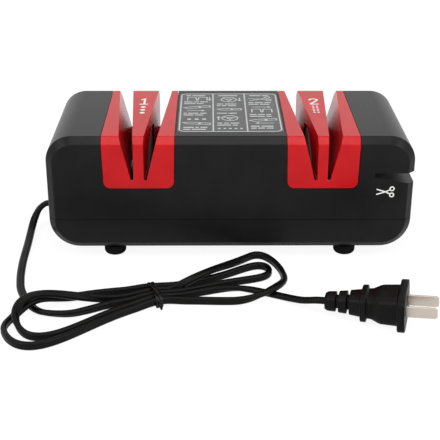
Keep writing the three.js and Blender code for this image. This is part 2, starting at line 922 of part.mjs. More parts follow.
function brush(facing) {
  const left = commutatorLeft + commutatorLength / 2 - brushWidth / 2;
  const inner = facing * (commutatorRadius + fitGap);
  const outer = facing * (canRadius - canWall - 2 * fitGap);
  const half = brushHeight / 2;
  return box(left, left + brushWidth, inner, outer, shaftHeight - half, shaftHeight + half);
}

function motorMount(x) {
  const half = mountThickness / 2;
  const block = box(x - half, x + half, -mountHalfDepth, mountHalfDepth, floorTop + fitGap, mountTop);
  const bore = canRadius + fitGap;
  return block.subtract(
    rod(bore, x - half - overrun, x + half + overrun, "x", 0, 0, shaftHeight, largeSides),
  );
}

// Switch

function switchBody() {
  const flangeBack = switchFace + fitGap;
  const flangeFront = flangeBack + switchFlangeThickness;
  const fx = switchFlangeHalfLength;
  const fz = switchFlangeHalfHeight;
  const bx = switchBodyHalfLength;
  const bz = switchBodyHalfHeight;
  const wx = switchWellHalfLength;
  const wz = switchWellHalfHeight;
  const z = switchHeight;
  const pinReach = bz - fitGap;
  const pinHole = rod(rockerPinRadius + fitGap, -pinReach, pinReach, "z", 0, rockerPivot.y, z, smallSides);
  return box(-fx, fx, flangeBack, flangeFront, z - fz, z + fz)
    .add(box(-bx, bx, flangeFront - switchBodyDepth, flangeFront, z - bz, z + bz))
    .subtract(box(-wx, wx, flangeFront - switchWellDepth, flangeFront + overrun, z - wz, z + wz))
    .subtract(pinHole);
}

function switchRocker() {
  const outline = [
    new THREE.Vector2(-rockerHalfLength, rockerEnd),
    new THREE.Vector2(-rockerHalfLength, 0),
    new THREE.Vector2(-rockerKeelHalfLength, -rockerKeel),
    new THREE.Vector2(rockerKeelHalfLength, -rockerKeel),
    new THREE.Vector2(rockerHalfLength, 0),
    new THREE.Vector2(rockerHalfLength, rockerEnd),
    new THREE.Vector2(0, rockerWaist),
  ];
  const geometry = new THREE.ExtrudeGeometry(new THREE.Shape(outline), {
    depth: 2 * rockerHalfHeight,
    bevelEnabled: false,
  });
  geometry.translate(0, 0, -rockerHalfHeight);
  const pinReach = rockerHalfHeight + rockerPinLength;
  return solid(geometry)
    .add(rod(rockerPinRadius, -pinReach, pinReach, "z", 0, 0, 0, smallSides))
    .rotate([0, 0, -rockerTilt])
    .translate(rockerPivot.toArray());
}

function instructionPlate() {
  return box(-plateHalfLength, plateHalfLength, plateFront, plateBack, top - plateThickness, top);
}

// Cord

// Where the left end wall's rounded foot is at a height: its outer face, or a face inside it.
function endFaceAt(height, inset) {
  const radius = bottomCornerRadius - inset;
  return bottomCornerRadius - halfLength - Math.sqrt(radius ** 2 - (cornerHeight - height) ** 2);
}

// Strain relief: a flange inside the wall, a neck through it and a tapered sleeve outside.
const reliefSeat = endFaceAt(exitHeight - reliefFlangeHalfHeight, wall) + fitGap;
const reliefCollarEnd = endFaceAt(exitHeight, 0) - reliefCollarLength;
const reliefStations = [
  {
    x: reliefSeat + reliefFlangeThickness,
    halfWidth: reliefFlangeHalfWidth,
    halfHeight: reliefFlangeHalfHeight,
  },
  { x: reliefSeat, halfWidth: reliefFlangeHalfWidth, halfHeight: reliefFlangeHalfHeight },
  { x: reliefSeat - reliefStep, halfWidth: reliefNeckHalfWidth, halfHeight: reliefNeckHalfHeight },
  { x: reliefCollarEnd, halfWidth: reliefNeckHalfWidth, halfHeight: reliefNeckHalfHeight },
  {
    x: reliefCollarEnd - reliefSleeveLength,
    halfWidth: reliefTipHalfWidth,
    halfHeight: reliefTipHalfHeight,
  },
];
const reliefShare = 0.7; // squareness of the strain relief's sections

function reliefForm(margin) {
  const rings = reliefStations.map(({ x, halfWidth, halfHeight }) =>
    ovalRing(x, halfWidth + margin, halfHeight + margin, reliefShare),
  );
  return loft(rings).translate([0, 0, exitHeight]);
}

const reliefInnerEnd = reliefStations[0].x;
const reliefOuterEnd = reliefStations[reliefStations.length - 1].x;

// A flat cord's path, with its width lying level or turned on edge along the way: a turn of 0 is level
// and 1 is on edge. A path gives its points and turns, and takes its frames from here.
class TwinPath extends THREE.Curve {
  // One frame for each step: the cord's width runs along the binormal, its thickness along the normal.
  computeFrenetFrames(steps) {
    const frames = { tangents: [], normals: [], binormals: [] };
    for (let i = 0; i <= steps; i += 1) {
      const t = this.getUtoTmapping(i / steps);
      const tangent = this.getTangent(t);
      const level = new THREE.Vector3(tangent.y, -tangent.x, 0).normalize();
      const upright = new THREE.Vector3().crossVectors(level, tangent).normalize();
      const angle = this.turnAt(t) * (Math.PI / 2);
      const width = level.clone().multiplyScalar(Math.cos(angle)).addScaledVector(upright, Math.sin(angle));
      frames.tangents.push(tangent);
      frames.binormals.push(width);
      frames.normals.push(new THREE.Vector3().crossVectors(width, tangent).normalize());
    }
    return frames;
  }
}

// A path through chosen points, each [x, y, z, turn].
class RoutePath extends TwinPath {
  constructor(points) {
    super();
    this.spine = new THREE.CatmullRomCurve3(points.map(([x, y, z]) => new THREE.Vector3(x, y, z)));
    this.turns = points.map(([, , , turn]) => turn);
    this.arcLengthDivisions = pathDivisions;
  }

  getPoint(t, target = new THREE.Vector3()) {
    return this.spine.getPoint(t, target);
  }

  turnAt(t) {
    const place = t * (this.turns.length - 1);
    const low = Math.min(Math.floor(place), this.turns.length - 2);
    return THREE.MathUtils.lerp(this.turns[low], this.turns[low + 1], place - low);
  }
}

function cordSection(sides, thickness, width) {
  const points = Array.from({ length: sides }, (_, i) => {
    const angle = (2 * Math.PI * (i + 0.5)) / sides;
    return new THREE.Vector2((thickness / 2) * Math.cos(angle), (width / 2) * Math.sin(angle));
  });
  return new THREE.Shape(points);
}

function swept(path, steps, section) {
  return solid(new THREE.ExtrudeGeometry(section, { steps, extrudePath: path, bevelEnabled: false }));
}

function cord(path, steps, sides) {
  return swept(path, steps, cordSection(sides, cordThickness, cordWidth));
}

function wire(points) {
  const steps = 2 * (points.length - 1);
  return swept(new RoutePath(points), steps, cordSection(wireSides, 2 * wireRadius, 2 * wireRadius));
}

// The hank's own frame: u along the hank to the right, v across it to the back.
const headingAngle = THREE.MathUtils.degToRad(hankHeading);
const edgeHeight = cordWidth / 2; // the middle of a strand that stands on edge on the surface

function hankPlace(u, v, z) {
  const x = tiePoint.x + u * Math.cos(headingAngle) - v * Math.sin(headingAngle);
  const y = tiePoint.y + u * Math.sin(headingAngle) + v * Math.cos(headingAngle);
  return new THREE.Vector3(x, y, z);
}

// Each loop leaves the tie in one place across the waist and comes back in another, counted in strands.
// A hump lifts it over a strand below: it is at a share of the loop's way and as long as another share.
const hankLoops = [
  {
    side: 1, reach: 66, lean: 7, from: 0, to: 2,
    halfWidths: [14, 14], fullness: [9, 7],
    humps: [],
  },
  {
    side: -1, reach: 87, lean: -12.3, from: 2, to: -2,
    halfWidths: [16, 34], fullness: [1.6, 3.2],
    humps: [{ atShare: 0.34, lengthShare: 0.09, rise: 3.6 }],
  },
  {
    side: 1, reach: 72.5, lean: 13, from: -2, to: 1,
    halfWidths: [34, 44], fullness: [2.3, 6],
    humps: [{ atShare: 0.36, lengthShare: 0.12, rise: 3.6 }, { atShare: 0.78, lengthShare: 0.15, rise: 5.7 }],
  },
  {
    side: -1, reach: 80, lean: -7.4, from: 1, to: -1,
    halfWidths: [22, 31], fullness: [5, 3.4],
    humps: [{ atShare: 0.377, lengthShare: 0.205, rise: 7.8 }],
  },
];

// How far up a strand is lifted at a share of its loop's way, as a share of its hump and in length.
function humpAt(humps, share) {
  let liftShare = 0;
  let height = 0;
  for (const { atShare, lengthShare, rise } of humps) {
    const away = Math.min(Math.abs(share - atShare) / lengthShare, 1);
    const bump = 0.5 * (1 + Math.cos(Math.PI * away));
    liftShare = Math.max(liftShare, bump);
    height = Math.max(height, rise * bump);
  }
  return { liftShare, height };
}

function liftAtWaist(u) {
  const away = Math.abs(u - tieOffset) / waistLiftLength;
  return away < 1 ? waistLift * 0.5 * (1 + Math.cos(Math.PI * away)) : 0;
}

function loopPoint(loop, share) {
  const angle = 2 * Math.PI * share;
  const out = (1 - Math.cos(angle)) / 2;
  const passed = share - Math.sin(angle) / (2 * Math.PI);
  const half = share < 0.5 ? 0 : 1;
  const bow = Math.sin(angle) * Math.abs(Math.sin(angle / 2)) ** loop.fullness[half];
  const u = loop.side * loop.reach * out;
  const slot = THREE.MathUtils.lerp(loop.from, loop.to, passed) * strandPitch;
  const v = slot + loop.lean * out * out - loop.side * loop.halfWidths[half] * bow;
  return hankPlace(u, v, edgeHeight + Math.max(liftAtWaist(u), humpAt(loop.humps, share).height));
}

// A free end of the hank: straight where it meets the next stretch, and along the hank at the tie.
function runPoint(u, side, slot) {
  const share = Math.abs(u) / runLength;
  const ease = share * share * (2 - share);
  const v = THREE.MathUtils.lerp(slot * strandPitch, side, ease);
  return hankPlace(u, v, edgeHeight + liftAtWaist(u));
}

class HankPath extends TwinPath {
  constructor() {
    super();
    this.arcLengthDivisions = hankDivisions;
  }

  getPoint(t, target = new THREE.Vector3()) {
    const whole = hankLoops.length * loopSteps + 2 * runSteps;
    const step = t * whole;
    const first = hankLoops[0];
    const last = hankLoops[hankLoops.length - 1];
    if (step < runSteps) {
      return target.copy(runPoint(-runLength * (1 - step / runSteps), runInSide, first.from));
    }
    if (step > whole - runSteps) {
      return target.copy(runPoint(runLength * (1 - (whole - step) / runSteps), runOutSide, last.to));
    }
    const inLoops = (step - runSteps) / loopSteps;
    const index = Math.min(Math.floor(inLoops), hankLoops.length - 1);
    return target.copy(loopPoint(hankLoops[index], inLoops - index));
  }

  // A strand stands on edge, and lies flat where it passes over another.
  turnAt(t) {
    const whole = hankLoops.length * loopSteps + 2 * runSteps;
    const inLoops = (t * whole - runSteps) / loopSteps;
    if (inLoops <= 0 || inLoops >= hankLoops.length) return 1;
    const index = Math.floor(inLoops);
    return 1 - humpAt(hankLoops[index].humps, inLoops - index).liftShare;
  }
}

const hankPath = new HankPath();
const hankSteps = hankLoops.length * loopSteps + 2 * runSteps;

// The least gap between stretches of the hank that aren't neighbours, measured on points of its skin.
function hankSelfGap() {
  const length = hankPath.getLength();
  const points = hankPath.getSpacedPoints(gapMeasureSteps);
  const { tangents, binormals, normals } = hankPath.computeFrenetFrames(gapMeasureSteps);
  const skip = Math.ceil((selfGapSkip / length) * gapMeasureSteps);
  const offset = new THREE.Vector3();
  let least = Infinity;
  for (let i = 0; i < points.length; i += 1) {
    for (let k = 0; k < 2 * leadSides; k += 1) {
      const angle = (Math.PI * k) / leadSides;
      const skin = points[i].clone();
      skin.addScaledVector(normals[i], (cordThickness / 2) * Math.cos(angle));
      skin.addScaledVector(binormals[i], (cordWidth / 2) * Math.sin(angle));
      for (let j = 0; j < points.length; j += 1) {
        if (Math.abs(i - j) < skip) continue;
        offset.subVectors(skin, points[j]);
        const across = offset.dot(normals[j]) / (cordThickness / 2);
        const along = offset.dot(binormals[j]) / (cordWidth / 2);
        if (Math.abs(offset.dot(tangents[j])) > gapSliceHalf) continue;
        const reach = Math.hypot(across, along);
        if (reach === 0) return 0;
        const radial = Math.hypot(offset.dot(normals[j]), offset.dot(binormals[j]));
        least = Math.min(least, radial * (1 - 1 / reach));
      }
    }
  }
  return least;
}

const selfGap = hankSelfGap();
console.log(`The hank's least gap to itself is ${selfGap.toFixed(2)} mm, wanted over ${strandClearance} mm.`);
console.log(`The hank holds ${hankPath.getLength().toFixed(0)} mm of cord.`);

const hankStart = hankPath.getPoint(0);
const hankEnd = hankPath.getPoint(1);
const hankStartWay = hankPath.getTangent(0);
const hankEndWay = hankPath.getTangent(1);

// The cord from the strain relief down to the surface and round to the hank.
const straightEnd = cordWidth;
const leadStart = [reliefOuterEnd - fitGap, 0, exitHeight];
const leadEnd = hankStart.clone().addScaledVector(hankStartWay, -fitGap);
const leadEndBack = leadEnd.clone().addScaledVector(hankStartWay, -straightEnd);
const leadPoints = [
  [...leadStart, 0],
  [leadStart[0] - straightEnd / 2, 0, 15.5, 0],
  [-117.8, -0.3, 12.2, 0.05],
  [-120.9, -2.4, 6.6, 0.1],
  [-121.9, -9.4, 3, 0.1],
  [-121.6, -20, 2.1, 0.1],
  [-121.1, -31, 2, 0.1],
  [-120.7, -42, 2, 0.1],
  [-120.2, -53.6, 2, 0.1],
  [-119.3, -65, 2, 0.1],
  [-118, -76.2, 2, 0.1],
  [-115.6, -88.4, 2, 0.1],
  [-111.3, -99.3, 2, 0.1],
  [-107.3, -106.8, 2, 0.15],
  [-101.5, -112.9, 2.1, 0.3],
  [-93.3, -115.4, 2.2, 0.5],
  [-85, -115.4, 2.3, 0.7],
  [-77, -112, 2.3, 0.9],
  [...leadEndBack.toArray(), 1],
  [...leadEnd.toArray(), 1],
];

// The plug's own frame: along its axis from where the cord goes in.
const plugWay = new THREE.Vector3(1, 0, 0).applyEuler(
  new THREE.Euler(0, -THREE.MathUtils.degToRad(plugPitch), THREE.MathUtils.degToRad(plugHeading), "ZYX"),
);

const tailStart = hankEnd.clone().addScaledVector(hankEndWay, fitGap);
const tailStartOn = tailStart.clone().addScaledVector(hankEndWay, straightEnd);
const tailEnd = plugEntry.clone().addScaledVector(plugWay, -fitGap);
const tailEndBack = tailEnd.clone().addScaledVector(plugWay, -straightEnd);
const tailPoints = [
  [...tailStart.toArray(), 1],
  [...tailStartOn.toArray(), 0.9],
  [2.5, -87.1, 2.1, 0.4],
  [10, -88.6, 2, 0.1],
  [17, -91.6, 2, 0],
  [24, -95, 2, 0],
  [30.9, -99.7, 2.7, 0],
  [37.8, -105.2, 4.3, 0],
  [...tailEndBack.toArray(), 0],
  [...tailEnd.toArray(), 0],
];

function twistTie() {
  const halfSpan = 2 * strandPitch + cordThickness / 2 + tieSlack;
  const low = tieFloorGap;
  const high = waistLift + cordWidth + fitGap;
  const outline = (margin) =>
    roundedOutline([
      corner(-halfSpan - margin, low + tieThickness - margin, cordThickness / 2),
      corner(halfSpan + margin, low + tieThickness - margin, cordThickness / 2),
      corner(halfSpan + margin, high + margin, cordThickness / 2),
      corner(-halfSpan - margin, high + margin, cordThickness / 2),
    ], tieCornerSteps);
  const band = (margin, width) => {
    const geometry = new THREE.ExtrudeGeometry(new THREE.Shape(outline(margin)), {
      depth: width,
      bevelEnabled: false,
    });
    geometry.translate(0, 0, -width / 2);
    geometry.rotateX(Math.PI / 2);
    geometry.rotateZ(Math.PI / 2);
    return solid(geometry);
  };
  const nearSide = -halfSpan - tieThickness;
  const twist = rod(tieThickness, 0, tieTail, "x", 0, 0, 0, smallSides)
    .rotate([0, 0, -tieTailTurn])
    .translate([0, nearSide + tieThickness / 2, high]);
  return band(tieThickness, tieWidth)
    .subtract(band(0, tieWidth + 2 * overrun))
    .add(twist)
    .translate([tieOffset, 0, 0])
    .rotate([0, 0, hankHeading])
    .translate(tiePoint.toArray());
}

// Plug: its stations from where the cord goes in, as shares of its length, half width and half height,
// with the squareness of the section.
const plugStationShares = [
  [0, 0.25, 0.375, 0.6],
  [0.037, 0.312, 0.469, 0.6],
  [0.136, 0.331, 0.49, 0.6],
  [0.14, 0.219, 0.323, 0.6],
  [0.166, 0.219, 0.323, 0.6],
  [0.171, 0.356, 0.51, 0.6],
  [0.271, 0.394, 0.542, 0.6],
  [0.276, 0.244, 0.354, 0.6],
  [0.301, 0.244, 0.354, 0.6],
  [0.306, 0.412, 0.563, 0.55],
  [0.444, 0.481, 0.604, 0.5],
  [0.449, 0.644, 0.771, 0.45],
  [0.519, 0.656, 0.781, 0.45],
  [0.528, 0.525, 0.625, 0.45],
  [0.579, 0.537, 0.646, 0.45],
  [0.689, 0.688, 0.792, 0.4],
  [0.902, 0.725, 0.833, 0.4],
  [0.907, 1, 1, 0.4],
  [1, 1, 1, 0.4],
];

function onPlug(form) {
  return form
    .rotate([0, -plugPitch, 0])
    .rotate([0, 0, plugHeading])
    .translate(plugEntry.toArray());
}

function plugBody() {
  const rings = plugStationShares.map(([along, width, height, squareness]) =>
    ovalRing(plugLength * along, plugHalfWidth * width, plugHalfHeight * height, squareness),
  );
  return onPlug(loft(rings));
}

function plugBlade(facing) {
  const from = plugLength + fitGap;
  const to = from + bladeLength;
  const middle = (facing * bladeSpacing) / 2;
  const halfThickness = bladeThickness / 2;
  const halfWidth = bladeWidth / 2;
  const section = (along, thin, wide) => [
    new THREE.Vector3(along, middle - thin, -wide),
    new THREE.Vector3(along, middle + thin, -wide),
    new THREE.Vector3(along, middle + thin, wide),
    new THREE.Vector3(along, middle - thin, wide),
  ];
  return onPlug(
    loft([
      section(from, halfThickness, halfWidth),
      section(to - bladeTaper, halfThickness, halfWidth),
      section(to, halfThickness / 2, halfWidth - bladeTaper / 2),
    ]),
  );
}

// Wires and the cord inside the housing
const innerCordPoints = [
  [reliefInnerEnd + fitGap, 0, exitHeight, 0],
  [clampX - clampHalfWidth, 0, exitHeight, 0],
  [clampX + clampHalfWidth, 0, exitHeight, 0],
  [-80, 1.5, 16.7, 0],
  [-77, 5, 16.9, 0],
  [-76.5, 10, 16.9, 0],
  [-76.5, 14, 16.3, 0],
];

const motorWirePoints = [
  [-63.6, 25, 13, 0],
  [-61.4, 25.4, 13, 0],
  [-57, 30, 13.6, 0],
  [-50, 35, 15.2, 0],
  [-40, 33, 16, 0],
  [-34, 24, 21, 0],
  [-32.6, 14, 29, 0],
  [-31.6, 11, 33, 0],
  [-28.7, 10.6, 34, 0],
];

// From the board as far as the switch, and then to a terminal, with X from the terminal.
const switchWirePoints = [
  [-63.6, 19, 13, 0],
  [-61.4, 19.4, 13.2, 0],
  [-57, 25, 15.6, 0],
  [-50, 30, 19.2, 0],
  [-40, 30, 24, 0],
  [-28, 28, 32, 0],
];
const terminalRunPoints = [
  [-8, 25.4, 41, 0],
  [-2, 24.6, 44, 0],
];
const terminalPoints = [
  [0, 26.2, 45.4, 0],
  [0, 28.3, 45.4, 0],
];

function movedPoints(points, alongX, alongY) {
  return points.map(([x, y, z, turn]) => [x + alongX, y + alongY, z, turn]);
}

function motorWireRoute(shift) {
  return movedPoints(motorWirePoints, 0, shift);
}

function switchWireRoute(shift, terminal) {
  return [
    ...movedPoints(switchWirePoints, 0, shift),
    ...movedPoints(terminalRunPoints, terminal, shift),
    ...movedPoints(terminalPoints, terminal, 0),
  ];
}

// Materials: colour, roughness and metalness of each kind

function finish(colour, roughness, metalness) {
  return { color: colour, roughness, metalness };
}

const blackPlastic = finish(0x232323, 0.45, 0);
const redPlastic = finish(0xc8262a, 0.3, 0);
const rubber = finish(0x0c0c0c, 0.8, 0);
const cordJacket = finish(0x1c1c1a, 0.55, 0);
const steel = finish(0x9a9c9e, 0.35, 1);
const abrasive = finish(0x8b8d90, 0.75, 0.2);
const nickel = finish(0xb8aea4, 0.3, 1);
const copper = finish(0xb06a3c, 0.4, 1);
const ferrite = finish(0x3a3a3e, 0.7, 0.2);
const greenBoard = finish(0x2c6a3c, 0.5, 0);
const darkFilm = finish(0x2a2a2c, 0.35, 0);
const whitePlastic = finish(0xe6e4de, 0.5, 0);

const sharpener = new THREE.Group();

function part(name, form, look) {
  const mesh = new THREE.Mesh(geometryOf(form), new THREE.MeshStandardMaterial(look));
  mesh.name = name;
  sharpener.add(mesh);
}

part("base_shell", baseShell(), blackPlastic);
part("upper_housing", upperHousing(), blackPlastic);
part("coarse_guide", guide(-1), redPlastic);
part("fine_guide", guide(1), redPlastic);
part("instruction_plate", instructionPlate(), darkFilm);

for (const [endX, acrossName] of [[-1, "left"], [1, "right"]]) {
  for (const [endY, depthName] of [[-1, "front"], [1, "back"]]) {
    part(`foot_${depthName}_${acrossName}`, foot(endX * footX, endY * footY), rubber);
    part(`housing_screw_${depthName}_${acrossName}`, housingScrew(endX * screwX, endY * screwY), steel);
  }
}

part("drive_shaft", driveShaft(), steel);
for (const [side, grade] of [[-1, "coarse"], [1, "fine"]]) {
  part(`${grade}_wheel`, sharpeningWheel(side), abrasive);
  part(`${grade}_wheel_hub`, wheelHub(side), steel);
  part(`${grade}_wheel_nut`, nut(side), steel);
}
part("scissors_wheel", scissorsWheel(), abrasive);
part("scissors_collar", scissorsCollar(), steel);
part("scissors_wheel_nut", scissorsNut(), steel);
part("outboard_bearing", onShaft(shaftHole, bearingRadius, bearingLeft, bearingRight), copper);
part("bearing_bracket", bearingBracket(), steel);

part("motor_can", motorCan(), steel);
part("armature", onShaft(shaftHole, armatureRadius, magnetLeft, magnetRight), ferrite);
part("commutator", commutator(), copper);
for (const [side, name] of [[-1, "left"], [1, "right"]]) {
  part(`motor_cap_${name}`, motorCap(side), steel);
  part(`motor_mount_${name}`, motorMount(side * mountX), blackPlastic);
}
for (const [facing, name] of [[-1, "front"], [1, "back"]]) {
  part(`magnet_${name}`, magnet(facing), ferrite);
  part(`brush_${name}`, brush(facing), ferrite);
  part(`clamp_screw_${name}`, clampScrew(facing * clampScrewY), steel);
}

part("switch_body", switchBody(), blackPlastic);
part("switch_rocker", switchRocker(), whitePlastic);
part("rectifier_board", board(), greenBoard);
part("rectifier_block", rectifier(), ferrite);
part("capacitor", capacitor(), darkFilm);
part("cord_clamp", cordClamp(), blackPlastic);
part("inner_cord", cord(new RoutePath(innerCordPoints), innerCordSteps, leadSides), cordJacket);
part("motor_wire_a", wire(motorWireRoute(0)), redPlastic);
part("motor_wire_b", wire(motorWireRoute(wireSpacing)), cordJacket);
part("switch_wire_a", wire(switchWireRoute(0, switchTerminals[0])), redPlastic);
part("switch_wire_b", wire(switchWireRoute(-wireSpacing, switchTerminals[1])), cordJacket);

part("strain_relief", reliefForm(0), rubber);
part("cord_lead", cord(new RoutePath(leadPoints), leadSteps, leadSides), cordJacket);
part("cord_hank", cord(hankPath, hankSteps, hankSides), cordJacket);
part("cord_tail", cord(new RoutePath(tailPoints), tailSteps, leadSides), cordJacket);
part("twist_tie", twistTie(), rubber);
part("plug_body", plugBody(), cordJacket);
part("plug_blade_near", plugBlade(-1), nickel);
part("plug_blade_far", plugBlade(1), nickel);

export default sharpener;
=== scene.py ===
# %% [markdown]
# # Electric knife sharpener
# A black housing of two moulded shells, two red guides with slots over motor-driven wheels, and a
# flat twin cord tied in a hank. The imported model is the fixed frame. Its inner pieces stay as they
# are and get a finish, and every piece that shows is built again here with finer edges, from the
# same sizes.

import math

import bmesh
import bpy
from mathutils import Matrix, Vector


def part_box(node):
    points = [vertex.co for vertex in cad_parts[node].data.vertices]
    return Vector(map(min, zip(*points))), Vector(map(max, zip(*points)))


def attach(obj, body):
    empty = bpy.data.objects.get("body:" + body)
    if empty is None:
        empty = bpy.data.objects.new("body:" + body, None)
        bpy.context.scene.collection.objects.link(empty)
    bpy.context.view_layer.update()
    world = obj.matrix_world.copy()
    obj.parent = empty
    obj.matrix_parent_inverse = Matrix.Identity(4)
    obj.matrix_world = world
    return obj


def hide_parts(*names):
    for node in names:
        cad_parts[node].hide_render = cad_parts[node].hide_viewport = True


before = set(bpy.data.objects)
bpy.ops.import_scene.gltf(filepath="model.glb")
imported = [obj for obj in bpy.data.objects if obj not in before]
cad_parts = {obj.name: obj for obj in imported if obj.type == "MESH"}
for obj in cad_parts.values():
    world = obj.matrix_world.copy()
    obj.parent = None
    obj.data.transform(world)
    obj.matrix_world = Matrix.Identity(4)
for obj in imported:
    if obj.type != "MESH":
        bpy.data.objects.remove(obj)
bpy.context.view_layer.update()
print("nodes in the frame:", len(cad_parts))

# %% [markdown]
# ## Units and meshes
# Sizes are typed in millimetres, because that is how moulded parts are drawn, and Blender counts in
# metres. Scaling each object would stretch its bevels and textures, so a mesh is scaled once, when
# it is made. Nearly every form here is a stack of outlines, so one function skins such a stack.

# %% Units and skins
MM = 0.001
WELD_DISTANCE = 0.002


def turn_faces_out(piece):
    form = bmesh.new()
    form.from_mesh(piece.data)
    bmesh.ops.remove_doubles(form, verts=form.verts, dist=WELD_DISTANCE * MM)
    bmesh.ops.recalc_face_normals(form, faces=form.faces)
    form.to_mesh(piece.data)
    form.free()


def soften(piece, angle):
    """Shades each face smooth, with a sharp edge where two faces meet at more than the angle."""
    piece.data.shade_smooth()
    piece.data.set_sharp_from_angle(angle=math.radians(angle))


def finish_mesh(name, verts, faces, smooth_angle=30):
    """A piece from points in millimetres, smooth up to an angle between its faces."""
    mesh = bpy.data.meshes.new(name)
    mesh.from_pydata([Vector(v) * MM for v in verts], [], faces)
    mesh.validate()
    piece = bpy.data.objects.new(name, mesh)
    bpy.context.scene.collection.objects.link(piece)
    turn_faces_out(piece)
    soften(piece, smooth_angle)
    return piece


def skin(name, rings, smooth_angle=30, closed=False):
    """A skin over rings of as many points each, capped at its two ends or closed to a band."""
    count, rows = len(rings[0]), len(rings)
    verts = [point for ring in rings for point in ring]
    faces = [] if closed else [list(range(count)), list(range(len(verts) - count, len(verts)))]
    for r in range(rows if closed else rows - 1):
        for i in range(count):
            j, s = (i + 1) % count, (r + 1) % rows
            faces.append([r * count + i, r * count + j, s * count + j, s * count + i])
    return finish_mesh(name, verts, faces, smooth_angle)


print("one unit typed is", MM, "m")

# %% [markdown]
# ## Camera
# The photo was taken with a normal lens from a little above, in front of the object. A camera could
# be set by eye, but then every size would be guessed with it. This one was worked out from the
# housing's straight edges and from the plug's two blades, whose size is a standard.

# %% Camera
CAMERA_PLACE = (-12.11, -593.97, 272.27)
CAMERA_DOWN = 24.31  # degrees
CAMERA_YAW = 0.64
CAMERA_ROLL = 0.18
LENS = 85.0
CLIP_END = 20  # metres


def aim(down, yaw, roll):
    """The camera's turn: its X to the right of the picture, Y up and Z back towards the photographer."""
    e, y, r = (math.radians(a) for a in (down, yaw, roll))
    forward = Vector((math.sin(y) * math.cos(e), math.cos(y) * math.cos(e), -math.sin(e)))
    level = Vector((math.cos(y), -math.sin(y), 0))
    upright = level.cross(forward)
    right = level * math.cos(r) + upright * math.sin(r)
    up = upright * math.cos(r) - level * math.sin(r)
    return Matrix((right, up, -forward)).transposed()


camera = bpy.data.objects.new("camera", bpy.data.cameras.new("camera"))
bpy.context.scene.collection.objects.link(camera)
camera.matrix_world = aim(CAMERA_DOWN, CAMERA_YAW, CAMERA_ROLL).to_4x4()
camera.location = Vector(CAMERA_PLACE) * MM
camera.data.lens = LENS
camera.data.clip_end = CLIP_END
bpy.context.scene.camera = camera
print("camera", round(LENS), "mm lens,", CAMERA_DOWN, "degrees down")

# %% [markdown]
# ## Colours and nodes
# Every colour is written as the sRGB value that one would pick from a picture, and turned to linear
# once. A material could be drawn by hand in the shader editor. Here one function adds a node with
# its settings and links, so each material reads as a short list from its texture to its shader.

# %% Colours and nodes
BLACK_PART = 0.04045  # sRGB values up to this are in proportion to the light


def linear(colour):
    """A hex colour as linear red, green, blue and alpha."""
    parts = [int(colour[i : i + 2], 16) / 255 for i in (1, 3, 5)]
    return [c / 12.92 if c <= BLACK_PART else ((c + 0.055) / 1.055) ** 2.4 for c in parts] + [1.0]


def add(owner, kind, settings=None, links=None):
    """Adds one node. Settings name its properties or sockets, and links say what feeds a socket."""
    tree = getattr(owner, "node_tree", owner)
    node = tree.nodes.new(kind)
    for key, value in (settings or {}).items():
        if isinstance(key, str) and hasattr(node, key):
            setattr(node, key, value)
        else:
            node.inputs[key].default_value = value
    for key, source in (links or {}).items():
        tree.links.new(source, node.inputs[key])
    return node


def blank_material(name):
    """A material with an empty node tree."""
    material = bpy.data.materials.new(name)
    material.use_nodes = True
    material.node_tree.nodes.clear()
    return material


def patches(size):
    """The noise scale whose patches are this many millimetres across."""
    return 1 / (size * MM)


def dress(piece, material):
    piece.data.materials.clear()
    piece.data.materials.append(material)
    return piece


print("middle grey is", round(linear("#808080")[0], 3), "in linear light")

# %% [markdown]
# ## Cord jacket
# The lead is PVC, extruded over two conductors and left a little matt by the die. One plain colour
# would look like a drawing, so the black drifts to a dark warm grey with the gloss, where the cord
# was handled, and a fine bump keeps its highlights soft.

# %% Cord jacket material


def pvc_jacket():
    material = blank_material("extruded_pvc_jacket")
    place = add(material, "ShaderNodeTexCoord").outputs["Object"]
    # Handling leaves dull and shiny stretches about 10 mm long.
    wear = add(material, "ShaderNodeTexNoise", {"Scale": patches(10), "Detail": 3}, {"Vector": place})
    contrast = {"From Min": 0.35, "From Max": 0.65}
    wear = add(material, "ShaderNodeMapRange", contrast, {"Value": wear.outputs["Fac"]}).outputs["Result"]
    colours = {"data_type": "RGBA", 6: linear("#040404"), 7: linear("#0a0a09")}
    colour = add(material, "ShaderNodeMix", colours, {0: wear})
    rough = add(material, "ShaderNodeMapRange", {"To Min": 0.38, "To Max": 0.48}, {"Value": wear})
    # The die leaves the skin faintly uneven, 0.3 mm from one hump to the next.
    humps = add(material, "ShaderNodeTexNoise", {"Scale": patches(0.3)}, {"Vector": place})
    bump = add(material, "ShaderNodeBump", {"Distance": 0.02 * MM}, {"Height": humps.outputs["Fac"]})
    links = {"Base Color": colour.outputs[2], "Roughness": rough.outputs["Result"]}
    links["Normal"] = bump.outputs["Normal"]
    shader = add(material, "ShaderNodeBsdfPrincipled", {"IOR": 1.53, "Specular IOR Level": 0.1}, links)
    add(material, "ShaderNodeOutputMaterial", None, {"Surface": shader.outputs["BSDF"]})
    return material


JACKET = pvc_jacket()
print("made", JACKET.name)

# %% [markdown]
# ## The cord's route
# The cord leaves the strain relief, falls to the table, lies in a long curve to the hank and ends
# in the plug. A cord is one length of something flexible, so it is one piece and not three tubes
# that meet. Its two free stretches follow points chosen on the photo. Each point has a turn too: 0
# where the flat cord lies level and 1 where it stands on edge.

